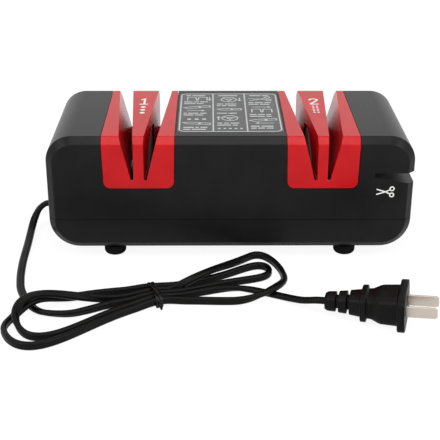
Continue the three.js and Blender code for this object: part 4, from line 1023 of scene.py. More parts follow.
# %% [markdown]
# ## Base
# The lower moulding meets the upper one in a fine line, with a lip behind it. It has rows of vents
# under the motor, holes for the feet and the screws, and an oval hole in its left end for the
# cord's strain relief. The line between the two mouldings is a real gap of 0.3 mm, because a
# painted line would not catch the light.

# %% Strain relief form
RELIEF_SQUARENESS = 0.7
RELIEF_SEAT = RELIEF_TIP + 15.5
# The strain relief's stations: place along X, half width and half height.
RELIEF_STATIONS = [
    (RELIEF_SEAT + 2.5, 5, 4.4),
    (RELIEF_SEAT, 5, 4.4),
    (RELIEF_SEAT - 0.2, 4.1, 3.6),
    (RELIEF_TIP + 6, 4.1, 3.6),
    (RELIEF_TIP, 3, 2.4),
]


def superellipse(half_width, half_height, squareness, count=48):
    """Points of an oval section; a squareness of 1 is an ellipse and 0 a rectangle."""
    points = []
    for i in range(count):
        angle = math.tau * (i + 0.5) / count
        c, s = math.cos(angle), math.sin(angle)
        across = half_width * math.copysign(abs(c) ** squareness, c)
        points.append((across, half_height * math.copysign(abs(s) ** squareness, s)))
    return points


def relief_form(name, stations, margin=0, smooth_angle=30):
    rings = []
    for x, half_width, half_height in stations:
        section = superellipse(half_width + margin, half_height + margin, RELIEF_SQUARENESS)
        rings.append([(x, y, EXIT_HEIGHT + z) for y, z in section])
    return skin(name, rings, smooth_angle)


print("the strain relief is", round(RELIEF_STATIONS[0][0] - RELIEF_TIP, 1), "mm long")

# %% [markdown]
# ## Copies by Geometry Nodes
# The base has twelve vents in two rows, and four screws hold it. All vents are alike and so are all
# screws, so Geometry Nodes puts one of them at each point of a small cloud of points. An array
# modifier could make one row, but not two. The result is kept as a plain mesh, which a boolean can
# use.

# %% Instances
GROUP_INPUTS = {"Points": "Geometry", "Part": "Object", "Material": "Material"}


def instancing_tree(name):
    """A node tree that puts a part at each point and gives it a material."""
    tree = bpy.data.node_groups.new(name + "_nodes", "GeometryNodeTree")
    for title, kind in GROUP_INPUTS.items():
        tree.interface.new_socket(title, in_out="INPUT", socket_type="NodeSocket" + kind)
    tree.interface.new_socket("Result", in_out="OUTPUT", socket_type="NodeSocketGeometry")
    given = add(tree, "NodeGroupInput").outputs
    part_form = add(tree, "GeometryNodeObjectInfo", None, {"Object": given["Part"]}).outputs["Geometry"]
    spread = {"Points": given["Points"], "Instance": part_form}
    copies = add(tree, "GeometryNodeInstanceOnPoints", None, spread).outputs["Instances"]
    solid = add(tree, "GeometryNodeRealizeInstances", None, {"Geometry": copies}).outputs["Geometry"]
    painted = add(tree, "GeometryNodeSetMaterial", None, {"Geometry": solid, "Material": given["Material"]})
    add(tree, "NodeGroupOutput", None, {"Result": painted.outputs["Geometry"]})
    return tree


def instances(name, part, places):
    """Copies of a part at the places, kept as one plain mesh. The part is used up."""
    points = bpy.data.meshes.new(name)
    points.from_pydata([Vector(place) * MM for place in places], [], [])
    piece = bpy.data.objects.new(name, points)
    bpy.context.scene.collection.objects.link(piece)
    change = piece.modifiers.new("copies", "NODES")
    change.node_group = instancing_tree(name)
    values = {"Part": part, "Material": part.data.materials[0]}
    for item in change.node_group.interface.items_tree:
        if item.name in values:
            change[item.identifier] = values[item.name]
    bake_modifiers(piece)
    bpy.data.objects.remove(part)
    return piece


print("such a node tree takes", ", ".join(GROUP_INPUTS))

# %% Vents
VENT_COUNT = 6
VENT_PITCH = 12
VENT_SIZE = (3, 16)
VENT_ROW_Y = 25


def vents():
    """Two rows of slots through the floor of the base."""
    half_x, half_y = VENT_SIZE[0] / 2, VENT_SIZE[1] / 2
    low, high = FOOT_HEIGHT - OVERRUN, FOOT_HEIGHT + WALL + OVERRUN
    slot = dress(block("vent", (-half_x, -half_y, low), (half_x, half_y, high)), BLACK_ABS)
    row = [(i - (VENT_COUNT - 1) / 2) * VENT_PITCH for i in range(VENT_COUNT)]
    return instances("vents", slot, [(x, y, 0) for x in row for y in (-VENT_ROW_Y, VENT_ROW_Y)])


print("vents:", 2 * VENT_COUNT)

# %% Posts inside the base
BOARD_POSTS_X = (-87.4, -66.6)
BOARD_POSTS_Y = (12.9, 28.7)
BOARD_POST = (2, 11.7)  # its radius and the height of its top
CLAMP_X = -88
CLAMP_BLOCK = (3, 2.3, 13.7)  # its half width, half depth and top
CLAMP_POST = (2.6, 6.6, 17.4)  # its radius, its distance from the middle and its top
CLAMP_HOLE = (1.4, 9.7)  # its radius and its bottom


def board_and_clamp_posts(shell):
    """Adds what holds the circuit board and the cord clamp."""
    root = FOOT_HEIGHT + WALL / 2
    radius, top = BOARD_POST
    places = [(x, y, 0) for x in BOARD_POSTS_X for y in BOARD_POSTS_Y]
    pins(join, shell, "board_post", radius, root, top, places)
    half_x, half_y, top = CLAMP_BLOCK
    join(shell, block("cord_rest", (CLAMP_X - half_x, -half_y, root), (CLAMP_X + half_x, half_y, top)))
    radius, away, top = CLAMP_POST
    for place in ((CLAMP_X, -away, 0), (CLAMP_X, away, 0)):
        pins(join, shell, "clamp_post", radius, root, top, [place])
        pins(cut, shell, "clamp_hole", *CLAMP_HOLE, top + OVERRUN, [place])


print("posts:", len(BOARD_POSTS_X) * len(BOARD_POSTS_Y) + 2)

# %% Base
LIP_THICKNESS = 1.4
LIP_HEIGHT = 3
LIP_ROOT = 5
FOOT_PLACE = (68, 36.5)
FOOT_STEM = 2.5
SCREW_HEAD = 2.9
SCREW_RISE = 8


def lip():
    """The rim behind the seam, which the upper housing slides over."""
    low = SEAM_HEIGHT - LIP_ROOT
    rim = clip(housing_form("rim", WALL + GAP, INNER_STEPS), slab("rim_part", low, SEAM_HEIGHT + LIP_HEIGHT))
    join(rim, clip(housing_form("root", WALL / 2, INNER_STEPS), slab("root_part", low, SEAM_HEIGHT - GAP)))
    return cut(rim, housing_form("inner", WALL + GAP + LIP_THICKNESS, INNER_STEPS))


def base_shell():
    end, outside = SEAM_HEIGHT - GAP / 2, FOOT_HEIGHT - OVERRUN
    screws, feet = four_places(SCREW_PLACE), four_places(FOOT_PLACE)
    space = housing_form("inner", WALL, INNER_STEPS)
    pins(cut, space, "boss", BOSS_RADIUS, FOOT_HEIGHT, end, screws)
    shell = clip(housing_form("base_moulding"), slab("lower_part", outside, end))
    cut(shell, space)
    join(shell, lip())
    for screw, stem in zip(screws, feet):
        pins(cut, shell, "bore", SCREW_SHANK + GAP, FOOT_HEIGHT, end + OVERRUN, [screw])
        pins(cut, shell, "counterbore", SCREW_HEAD + GAP, outside, FOOT_HEIGHT + SCREW_RISE, [screw])
        pins(cut, shell, "stem_hole", FOOT_STEM + GAP, outside, FOOT_HEIGHT + WALL + OVERRUN, [stem])
    cut(shell, relief_form("relief_hole", RELIEF_STATIONS, GAP))
    board_and_clamp_posts(shell)
    cut(shell, vents())
    break_edges(shell, MOULDED_BREAK)
    return shell


place_piece(base_shell(), BLACK_ABS, ["base_shell"])

# %% [markdown]
# ## Plate
# A thin film of polycarbonate fills the recess between the guides. It could be a coloured patch on
# the housing, but a real film has an edge that catches the light, so it is a slab of its own, 0.8
# mm thick. Its material needs one noise only, and so do the other plain ones below, so one function
# makes them all. Its print comes later.

# %% Materials with one noise
EVEN_GLOSS = 0.5
NOISE_RANGE = (0.3, 0.7)  # nearly all values of a noise lie between these


def patchy(name, dark, light, size, detail=4, gloss=EVEN_GLOSS, relief=0, settings=None, texture="Noise"):
    """A material that drifts from one colour to another over patches some millimetres across.

    One colour given twice stays even. Gloss is a roughness, or two between which it drifts with the patches.
    Relief is the height of a bump in millimetres.
    """
    material = blank_material(name)
    place = add(material, "ShaderNodeTexCoord").outputs["Object"]
    scale = {"Scale": patches(size), "Detail": detail}
    patch = add(material, "ShaderNodeTex" + texture, scale, {"Vector": place}).outputs[0]
    colours = {"data_type": "RGBA", 6: linear(dark), 7: linear(light)}
    links = {"Base Color": add(material, "ShaderNodeMix", colours, {0: patch}).outputs[2]}
    settings = dict(settings or {})
    if isinstance(gloss, tuple):
        low, high = NOISE_RANGE
        ends = {"From Min": low, "From Max": high, "To Min": gloss[0], "To Max": gloss[1]}
        links["Roughness"] = add(material, "ShaderNodeMapRange", ends, {"Value": patch}).outputs["Result"]
    else:
        settings["Roughness"] = gloss
    if relief:
        height = {"Distance": relief * MM}
        links["Normal"] = add(material, "ShaderNodeBump", height, {"Height": patch}).outputs["Normal"]
    shader = add(material, "ShaderNodeBsdfPrincipled", settings, links)
    add(material, "ShaderNodeOutputMaterial", None, {"Surface": shader.outputs["BSDF"]})
    return material


# The film's matt lacquer is a little uneven over 4 mm, which breaks the light that it mirrors.
FILM = patchy("polycarbonate_film", "#282828", "#282828", 4, gloss=(0.3, 0.38), settings={"IOR": 1.58})
print("made", FILM.name)

# %% Plate
PLATE_BREAK = 0.15
plate_sides = (PLATE_HALF, PLATE_HALF_DEPTH, PLATE_RADIUS)
plate = upright("plate", *plate_sides, HEIGHT - PLATE_THICKNESS, HEIGHT, (0, PLATE_MIDDLE))
break_edges(plate, PLATE_BREAK)
place_piece(plate, FILM, ["instruction_plate"])

# %% [markdown]
# ## Rubber feet
# Each foot is a moulded rubber pad with a stem pressed through the floor. It is round, so a profile
# is turned, as on a lathe, and the lower edge is an arc in that profile. Rubber is nearly black and
# mirrors little, and dust makes it greyer in spots.

# %% Feet
FOOT_RADIUS = 6.4
FOOT_EDGE = 2.4
FOOT_STEM_HEIGHT = 4
FOOT_SIDES = 64
SMALL_EDGE = 0.4
DULL = {"IOR": 1.52, "Specular IOR Level": 0.1}
# Dust holds in the rubber in spots of 1 mm.
RUBBER = patchy("moulded_foot_rubber", "#040404", "#090909", 1, gloss=0.75, relief=0.02, settings=DULL)


def foot(name, place):
    seat, stem_top = FOOT_HEIGHT - GAP, FOOT_HEIGHT + FOOT_STEM_HEIGHT
    corners = [(0, 0, 0), (FOOT_RADIUS, 0, FOOT_EDGE), (FOOT_RADIUS, seat, SMALL_EDGE)]
    edge = rounded(corners, steps=8)[1:]
    profile = [(0, 0.0)] + [(p.x, p.y) for p in edge if p.x > 0]
    profile += [(FOOT_STEM, seat), (FOOT_STEM, stem_top - SMALL_EDGE)]
    profile += [(FOOT_STEM - SMALL_EDGE, stem_top), (0, stem_top)]
    return lathe(name, profile, "z", place, FOOT_SIDES)


CORNER_NAMES = [f"{depth}_{side}" for depth in ("front", "back") for side in ("left", "right")]
for corner_name, place in zip(CORNER_NAMES, four_places(FOOT_PLACE)):
    place_piece(foot("rubber_foot_" + corner_name, place), RUBBER, ["foot_" + corner_name])

# %% [markdown]
# ## Base screws
# Four screws hold the two mouldings together, sunk in the base. They are hardly seen, so the thread
# is left out, but the head has its cross recess. Zinc plating on cold-formed steel is bright with
# cloudy patches of a millimetre, which is a metal whose colour and gloss drift together.

# %% Screws
SCREW_LENGTH = 20
SCREW_HEAD_HEIGHT = 2
SCREW_CROSS = (0.8, 1.9, 1.1)  # the cross recess: width, half length and depth
# The head's rim: how far inside its radius, and how far over its end.
SCREW_RIM = [(0.7, 0), (0.2, 0.3), (0, 0.9)]
SCREW_POINT = 1.5
SCREW_SIDES = 40
METAL = {"Metallic": 1.0}
ZINC_STEEL = patchy("zinc_plated_steel", "#9fa1a3", "#b9bcbf", 1, gloss=(0.28, 0.42), settings=METAL)


def base_screw():
    """One screw at the middle of the frame, with a cross recess in its head."""
    seat = FOOT_HEIGHT + SCREW_RISE - GAP
    head, tip = seat - SCREW_HEAD_HEIGHT, seat + SCREW_LENGTH
    profile = [(0, head)] + [(SCREW_HEAD - inside, head + over) for inside, over in SCREW_RIM]
    profile += [(SCREW_HEAD, seat), (SCREW_SHANK, seat), (SCREW_SHANK, tip - SCREW_POINT), (0, tip)]
    piece = lathe("base_screw", profile, "z", (0, 0, 0), SCREW_SIDES)
    width, reach, depth = SCREW_CROSS
    for x, y in ((width / 2, reach), (reach, width / 2)):
        cut(piece, block("cross", (-x, -y, head - OVERRUN), (x, y, head + depth)))
    soften(piece, SOFT_ANGLE)
    return dress(piece, ZINC_STEEL)


screws = instances("base_screws", base_screw(), four_places(SCREW_PLACE))
place_piece(screws, ZINC_STEEL, ["housing_screw_" + corner_name for corner_name in CORNER_NAMES])

# %% [markdown]
# ## Strain relief
# The cord leaves through a tapered sleeve that keeps it from kinking. Its neck fills the hole in
# the wall, and rings cut into the sleeve let it bend. The rings could be cut by booleans, but each
# is only four more oval sections in the stack, so they are part of the skin.

# %% Strain relief
RELIEF_RING_COUNT = 3
RELIEF_RING_WIDTH = 0.7
RELIEF_RING_DEPTH = 0.5
RELIEF_RING_SLOPE = 0.2
RELIEF_FIRST_SHARE = 0.8  # of the way between two rings, from the collar to the first one
# The tip's rounded end: place before the tip, half width and half height.
RELIEF_END = [(0.4, 3.05, 2.45), (0, 2.8, 2.2)]


def relief_size(x):
    """Half width and half height of the sleeve at a place along X."""
    (x0, w0, h0), (x1, w1, h1) = RELIEF_STATIONS[3:]
    share = (x - x0) / (x1 - x0)
    return mix(w0, w1, share), mix(h0, h1, share)


def strain_relief():
    inner, half_width, half_height = RELIEF_STATIONS[0]
    stations = [(inner, half_width - SMALL_EDGE, half_height - SMALL_EDGE)]
    stations += [(inner - SMALL_EDGE, half_width, half_height)] + RELIEF_STATIONS[1:4]
    collar = RELIEF_STATIONS[3][0]
    pitch = (collar - RELIEF_TIP) / (RELIEF_RING_COUNT + 1)
    half = RELIEF_RING_WIDTH / 2
    outer = half + RELIEF_RING_SLOPE
    for i in range(RELIEF_RING_COUNT):
        middle = collar - pitch * (i + RELIEF_FIRST_SHARE)
        for away, depth in ((outer, 0), (half, RELIEF_RING_DEPTH), (-half, RELIEF_RING_DEPTH), (-outer, 0)):
            width, height = (size - depth for size in relief_size(middle + away))
            stations.append((middle + away, width, height))
    stations += [(RELIEF_TIP + before, width, height) for before, width, height in RELIEF_END]
    return relief_form("cord_sleeve", stations, 0, SOFT_ANGLE)


relief = place_piece(strain_relief(), JACKET, ["strain_relief"])

# %% [markdown]
# ## Plug
# The plug is moulded over the cord: a sleeve with slots that bends, a collar, a waisted body to
# grip, and a flange against the socket. Sculpting it would lose its exact widths, so it is a stack
# of oval sections, read off the photo from end to end, and the outline between them is rounded
# along the way.

# %% Plug stations
# Place along the plug, half width, half height, squareness, and the radius of the outline there.
PLUG_STATIONS = [
    (0, 3.6, 3.3, 0.6, 0),
    (0.02, 4.2, 3.8, 0.6, 0.3),
    (1.6, 5.0, 4.5, 0.6, 1.6),
    (5.8, 5.3, 4.7, 0.6, 0.4),
    (6.0, 3.5, 3.1, 0.6, 0.2),
    (7.1, 3.5, 3.1, 0.6, 0.2),
    (7.3, 5.7, 4.9, 0.6, 0.4),
    (11.6, 6.3, 5.2, 0.6, 0.4),
    (11.8, 3.9, 3.4, 0.6, 0.2),
    (12.9, 3.9, 3.4, 0.6, 0.2),
    (13.1, 6.6, 5.4, 0.55, 0.4),
    (19.0, 7.7, 5.8, 0.5, 0.5),
    (19.2, 10.3, 7.4, 0.45, 0.6),
    (22.2, 10.5, 7.5, 0.45, 0.6),
    (22.6, 8.4, 6.0, 0.45, 0.6),
    (24.8, 8.6, 6.2, 0.45, 3),
    (29.5, 11.0, 7.6, 0.4, 8),
    (38.6, 11.6, 8.0, 0.4, 0.6),
    (38.8, 16, 9.6, 0.4, 0.8),
    (42.8, 16, 9.6, 0.4, 0.7),
    (42.8, 15, 8.6, 0.4, 0),
]
PLUG_LEVEL = Vector((-PLUG_WAY.y, PLUG_WAY.x, 0)).normalized()
PLUG_UP = PLUG_WAY.cross(PLUG_LEVEL)
PLUG_SIDES = 64
PLUG_ANGLE = 45
MOST_ROUNDING_SHARE = 0.45  # of the way to the next station, taken by a radius
print("the plug is", PLUG_STATIONS[-1][0], "mm long")


# %% Plug body
def in_plug(along, across, height):
    return PLUG_ENTRY + PLUG_WAY * along + PLUG_LEVEL * across + PLUG_UP * height


def rounded_profile(pairs, radii, steps=5):
    """An open profile of (place, size) pairs with its inner corners rounded."""
    points = [Vector(pairs[0])]
    for i in range(1, len(pairs) - 1):
        here = Vector(pairs[i])
        back, on = Vector(pairs[i - 1]) - here, Vector(pairs[i + 1]) - here
        half = math.acos(max(-1, min(1, back.normalized().dot(on.normalized())))) / 2
        most = MOST_ROUNDING_SHARE * min(back.length, on.length)
        reach = min(radii[i] / math.tan(half), most)
        start, end = here + back.normalized() * reach, here + on.normalized() * reach
        for k in range(steps + 1):
            t = k / steps
            points.append(start * (1 - t) ** 2 + here * (2 * t * (1 - t)) + end * t * t)
    points.append(Vector(pairs[-1]))
    return points


def plug_body():
    radii = [station[4] for station in PLUG_STATIONS]
    profiles = [rounded_profile([(s[0], s[k]) for s in PLUG_STATIONS], radii) for k in (1, 2, 3)]
    rings = []
    for w, h, shape in zip(*profiles):
        section = superellipse(w.y, h.y, shape.y, PLUG_SIDES)
        rings.append([in_plug((w.x + h.x) / 2, across, height) for across, height in section])
    return skin("moulded_plug", rings, PLUG_ANGLE)


plug = place_piece(plug_body(), JACKET, ["plug_body"])

# %% [markdown]
# ## Blades
# Each blade is a strip of nickel-plated brass, punched from sheet, with rounded edges and a
# bevelled end that finds its way into the socket. A bevelled box would do, but four rounded
# outlines in a stack give the edges and the end at once. Nickel looks warmer than steel, and it was
# brushed before plating, so it mirrors softly.

# %% Blades
BLADE_START = 43.1
BLADE_LENGTH = 15.6
BLADE_SPACING = 12.9
BLADE_WIDTH = 6
BLADE_THICKNESS = 1.5
# Place before the blade's end, share of the thickness, how much less half width, and the corners' radius.
BLADE_STATIONS = [(BLADE_LENGTH, 1, 0, 0.3), (1.2, 1, 0, 0.3), (0.3, 0.62, 0.45, 0.25), (0, 0.4, 0.8, 0.2)]
NICKEL = patchy("nickel_plated_brass", "#b9aea2", "#cbc1b7", 1.5, gloss=(0.3, 0.42), settings=METAL)


def blade(name, facing):
    rings, centre = [], (facing * BLADE_SPACING / 2, 0)
    for before, thin_share, narrower, radius in BLADE_STATIONS:
        halves = (BLADE_THICKNESS / 2 * thin_share, BLADE_WIDTH / 2 - narrower)
        along = BLADE_START + BLADE_LENGTH - before
        outline = slab_outline(*halves, radius * thin_share, centre)
        rings.append([in_plug(along, p.x, p.y) for p in outline])
    return skin(name, rings, SOFT_ANGLE)


near_blade = place_piece(blade("near_blade", -1), NICKEL, ["plug_blade_near"])
far_blade = place_piece(blade("far_blade", 1), NICKEL, ["plug_blade_far"])

# %% [markdown]
# ## Twist tie
# The hank is held by a plastic-coated wire, wound twice round the waist. The two turns lie side by
# side underneath and cross on top, and the twisted ends are folded down. A cloth or rope simulation
# would be much work for a wire that never moves, so each turn is a closed band along an outline
# round the strands.

# %% Tie coating and the turns' route
TIE_INNER = (10.0, 0.15, 5.95)  # half span, underside and top of the space inside
TIE_LOW_RADIUS = 0.8
TIE_TOP_RADIUS = 3
TIE_SECTION = (0.95, 0.42)  # half width and half thickness of the coated wire
TIE_SQUARENESS = 0.8
TIE_SIDES = 16
TIE_SPREAD = 1.0  # the two turns lie this far to each side
TIE_CROSSING_SHARE = 0.8  # of the half span, in which the turns cross
# Creased where it was bent, every 2 mm or so.
COATED = {"IOR": 1.5, "Specular IOR Level": 0.2}
TIE_COATING = patchy("coated_tie_wire", "#0c0c0c", "#0c0c0c", 2, gloss=0.3, relief=0.08, settings=COATED)


def tie_ring(lift, lean):
    """One turn round the waist. It leans across the top, where a lift takes it over the other turn."""
    half, low, high = TIE_INNER
    x, floor, roof = half + TIE_SECTION[1], low + TIE_SECTION[1], high + TIE_SECTION[1]
    corners = [(-x, floor, TIE_LOW_RADIUS), (x, floor, TIE_LOW_RADIUS)]
    outline = rounded(corners + [(x, roof, TIE_TOP_RADIUS), (-x, roof, TIE_TOP_RADIUS)], steps=8)
    # The straight top gets points of its own, so that it can bend, before those of the last corner.
    crossing = [Vector((half * (1 - k / 10), roof)) for k in range(3, 18)]
    split = 3 * len(outline) // 4
    places, reach = [], half * TIE_CROSSING_SHARE
    for p in outline[:split] + crossing + outline[split:]:
        across = math.sin(math.pi / 2 * max(-1, min(1, p.x / reach)))
        if p.y < (low + high) / 2:
            across = math.copysign(1, p.x)
        over = lift * swell(p.x, reach) if p.y > high else 0
        places.append(hank_place(TIE_OFFSET + lean * TIE_SPREAD * across, p.x, p.y + over))
    return places


def closed_band(name, places):
    """A closed band with an oval section, its width along the hank."""
    rings = []
    for i, place in enumerate(places):
        way = (places[(i + 1) % len(places)] - places[i - 1]).normalized()
        out = way.cross(HANK_WAY).normalized()
        side = out.cross(way)
        section = superellipse(*TIE_SECTION, TIE_SQUARENESS, TIE_SIDES)
        rings.append([place + side * w + out * t for w, t in section])
    return skin(name, rings, WIRE_ANGLE, closed=True)


print("a turn has", len(tie_ring(0, 1)), "places")

# %% Twisted ends
TIE_TAIL = 5
TIE_TAIL_STEPS = 24
TIE_TAIL_START = (1.3, 0.6)  # in front of the strands, and below the top of the space inside
TIE_TAIL_WAY = Vector((0, -0.5, -0.87))
TIE_TAIL_SIDE = Vector((0, 0.87, -0.5))
TIE_TWIST = 1.6  # radians for each millimetre
TURN_GAP = 0.05  # between the turns where they cross
WIRE_SIDES = 12


def round_wire(name, places, radius):
    angles = [math.tau * k / WIRE_SIDES for k in range(WIRE_SIDES)]
    section = [(radius * math.cos(a), radius * math.sin(a)) for a in angles]
    return sweep(name, places, [0] * len(places), section)


def twisted_end(phase):
    half, low, high = TIE_INNER
    radius = TIE_SECTION[1]
    places = []
    for k in range(TIE_TAIL_STEPS + 1):
        along = k / TIE_TAIL_STEPS * TIE_TAIL
        turn = phase + along * TIE_TWIST
        sway = Vector((math.cos(turn), 0, 0)) + TIE_TAIL_SIDE * math.sin(turn)
        spot = Vector((0, -half - TIE_TAIL_START[0], high - TIE_TAIL_START[1]))
        spot += TIE_TAIL_WAY * along + sway * radius
        places.append(hank_place(TIE_OFFSET + spot.x, spot.y, spot.z))
    return round_wire("end", places, radius)


print("the ends twist", round(TIE_TAIL * TIE_TWIST / math.tau, 1), "times round each other")

# %% The whole tie


def fuse(name, pieces):
    """Several pieces as one mesh."""
    form = bmesh.new()
    for piece in pieces:
        form.from_mesh(piece.data)
        bpy.data.objects.remove(piece)
    mesh = bpy.data.meshes.new(name)
    form.to_mesh(mesh)
    form.free()
    whole = bpy.data.objects.new(name, mesh)
    bpy.context.scene.collection.objects.link(whole)
    return whole


turns = [closed_band("lower_turn", tie_ring(0, 1))]
turns.append(closed_band("upper_turn", tie_ring(2 * TIE_SECTION[1] + TURN_GAP, -1)))
tie = fuse("wound_tie", turns + [twisted_end(phase) for phase in (0, math.pi)])
place_piece(tie, TIE_COATING, ["twist_tie"])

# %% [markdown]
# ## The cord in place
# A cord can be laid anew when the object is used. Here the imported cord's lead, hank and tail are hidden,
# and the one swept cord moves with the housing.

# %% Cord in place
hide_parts("cord_lead", "cord_hank", "cord_tail")
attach(cord, "housing")
print("declared", round(CORD_LENGTH * MM, 3), "m of cord")

# %% [markdown]
# ## Wheels
# Through the slots the grey faces of the two wheels can be seen, and the scissors wheel stands in
# the notch. The coarse wheel holds grit of about 0.4 mm and the fine one of 0.2 mm, which makes the
# one look rougher. Real grains would be millions of faces, and cells of a Voronoi texture, whose
# edges stand up like grains, look the same from here.

# %% Wheels
WHEEL_BORE = 5
WHEEL_EDGE = 1.5
WHEEL_SIDES = 128
SHAFT_HOLE = 3.3
COARSE_GRIT = patchy("coarse_bonded_abrasive", "#39393b", "#757577", 0.4, 0, 0.7, 0.15, texture="Voronoi")
FINE_GRIT = patchy("fine_bonded_abrasive", "#47484a", "#838487", 0.2, 0, 0.7, 0.08, texture="Voronoi")


def wheel(name, left, right, radius, bore, edge):
    profile = [(bore, left), (radius - edge, left), (radius, left + edge), (radius, right - edge)]
    profile += [(radius - edge, right), (bore, right)]
    return lathe(name, profile, "x", (0, 0, SHAFT_HEIGHT), WHEEL_SIDES)


for name, side, material in (("coarse_wheel", -1, COARSE_GRIT), ("fine_wheel", 1, FINE_GRIT)):
    ends = side * RIB_CENTRE - WHEEL_HALF, side * RIB_CENTRE + WHEEL_HALF
    stone = wheel(name + "_stone", *ends, WHEEL_RADIUS, WHEEL_BORE, WHEEL_EDGE)
    place_piece(stone, material, [name], "rotor")
stone = wheel("scissors_stone", *SCISSORS_ENDS, SCISSORS_RADIUS, SHAFT_HOLE, SMALL_EDGE)
place_piece(stone, FINE_GRIT, ["scissors_wheel"], "rotor")

# %% [markdown]
# ## Rocker switch
# A snap-in rocker switch sits in a recess of the back face. The bezel has rounded corners, and the
# rocker's face is dished. The rocker is modelled level, where its outline is easy to write, and
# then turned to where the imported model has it, because a turned pose is what the joint starts from.

# %% Switch frame
FLANGE_HALF = (10.8, 8.2)
FLANGE_THICKNESS = 1.5
FLANGE_RADIUS = 1.6
CASE_SEAT = 0.2  # the case ends this far under the bezel's face
WELL_HALF = (8.7, 5.4)
WELL_DEPTH = 10
WELL_RADIUS = 0.6
ROCKER_PIVOT = Vector((0, 41, SWITCH_HEIGHT))
ROCKER_PIN = (1.2, 6.2)  # its radius and half length
SWITCH_PLASTIC = moulded_plastic("glossy_black_pa66", "#101010", "#171717", (0.22, 0.32), 0.5, 0.004)


def switch_body():
    back = DEPTH / 2 - RECESS_DEPTH + GAP
    front = back + FLANGE_THICKNESS
    body = facing_back("switch_frame", FLANGE_HALF, FLANGE_RADIUS, back, front)
    case = (SWITCH_BODY_HALF, SWITCH_BODY_RADIUS, front - SWITCH_BODY_DEPTH, front - CASE_SEAT)
    join(body, facing_back("case", *case))
    cut(body, facing_back("well", WELL_HALF, WELL_RADIUS, front - WELL_DEPTH, front + OVERRUN))
    reach = SWITCH_BODY_HALF[1] - GAP
    pins(cut, body, "pin_hole", ROCKER_PIN[0] + GAP, -reach, reach, [ROCKER_PIVOT])
    break_edges(body, MOULDED_BREAK)
    return body


place_piece(switch_body(), SWITCH_PLASTIC, ["switch_body"])

# %% Rocker
ROCKER_HALF = (7.8, 5.1)
ROCKER_END = 3.6
ROCKER_WAIST = 2.4
ROCKER_DISH = 1.6  # how the face rises: 1 is a straight slope, 2 a round one
ROCKER_KEEL = (3, 4)
ROCKER_END_RADIUS = 0.4
ROCKER_KEEL_RADIUS = 0.6
ROCKER_TILT = -11  # degrees
ROCKER_BREAK = 0.35
FACE_STEPS = 16


def on_rocker(x, y, z):
    """A place on the level rocker, turned with it."""
    return ROCKER_PIVOT + Matrix.Rotation(math.radians(ROCKER_TILT), 3, "Z") @ Vector((x, y, z))


def rocker_face(x):
    """How far the dished face stands out from the pivot."""
    return mix(ROCKER_WAIST, ROCKER_END, abs(x / ROCKER_HALF[0]) ** ROCKER_DISH)


def rocker():
    half, height = ROCKER_HALF
    across, deep = ROCKER_KEEL
    corners = [(-half, 0, ROCKER_END_RADIUS), (-across, -deep, ROCKER_KEEL_RADIUS)]
    corners += [(across, -deep, ROCKER_KEEL_RADIUS), (half, 0, ROCKER_END_RADIUS)]
    face = [half - 2 * half * k / FACE_STEPS for k in range(FACE_STEPS + 1)]
    outline = [(p.x, p.y) for p in rounded(corners, steps=5)] + [(x, rocker_face(x)) for x in face]
    piece = skin("rocker", [[on_rocker(x, y, z) for x, y in outline] for z in (-height, height)])
    radius, reach = ROCKER_PIN
    pins(join, piece, "pin", radius, -reach, reach, [ROCKER_PIVOT])
    break_edges(piece, ROCKER_BREAK, SOFT_ANGLE)
    return piece


place_piece(rocker(), SWITCH_PLASTIC, ["switch_rocker"], "rocker")

# %% [markdown]
# ## Pieces inside
# The motor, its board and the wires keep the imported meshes, which no picture shows from close by.
# Each gets the finish of what it is made of, so that the model is true when the housing is hidden.
# The colours drift over the size that each material has: grains, sintered powder, or handling.

# %% Finishes for the pieces inside


def inner_metal(name, dark, light, gloss, size):
    return patchy(name, dark, light, size, gloss=gloss, settings=METAL)


def polymer(name, dark, light, gloss, size):
    return patchy(name, dark, light, size, 3, gloss)


ZINC_PIECES = "coarse_wheel_hub coarse_wheel_nut fine_wheel_hub fine_wheel_nut scissors_wheel_nut"
ZINC_PIECES += " bearing_bracket motor_can motor_cap_left motor_cap_right clamp_screw_front clamp_screw_back"
INNER_FINISHES = [
    (inner_metal("ground_shaft_steel", "#a4a6a8", "#b6b8ba", (0.2, 0.3), 3), "drive_shaft scissors_collar"),
    (ZINC_STEEL, ZINC_PIECES),
    (inner_metal("laminated_iron", "#5a5450", "#6b6560", (0.4, 0.55), 2), "armature"),
    (inner_metal("sintered_bronze", "#8a6238", "#a87c4c", (0.4, 0.55), 0.5), "outboard_bearing"),
    (inner_metal("commutator_copper", "#a86038", "#c07a50", (0.25, 0.4), 1), "commutator"),
    (polymer("ferrite_ceramic", "#2c2c30", "#3c3c42", 0.6, 1), "magnet_front magnet_back"),
    (polymer("brush_carbon", "#1c1c1e", "#2a2a2c", 0.55, 0.5), "brush_front brush_back"),
    (BLACK_ABS, "motor_mount_left motor_mount_right cord_clamp"),
    (polymer("green_circuit_board", "#22502e", "#2e6a3e", 0.4, 5), "rectifier_board"),
    (polymer("black_epoxy_case", "#141416", "#1c1c1e", 0.45, 2), "rectifier_block"),
    (polymer("yellow_film_wrap", "#b8962c", "#cba93c", 0.4, 4), "capacitor"),
    (polymer("red_pvc_wire", "#a01c1c", "#b42424", 0.4, 3), "motor_wire_a switch_wire_a"),
    (JACKET, "inner_cord motor_wire_b switch_wire_b"),
]
for material, names in INNER_FINISHES:
    for name in names.split():
        for material_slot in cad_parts[name].material_slots:
            material_slot.material = material
print("inner nodes finished:", sum(len(names.split()) for _, names in INNER_FINISHES))

# %% [markdown]
# ## Print
# The marks are pad-printed in white: a guide to use on the plate, a number on each rib, a pair of
# scissors by the notch, and the two marks on the rocker. An image texture would need a picture
# file, so each figure is a flat line or shape with a thickness of a few hundredths of a millimetre,
# laid on its surface. All of them are plain signs drawn here.

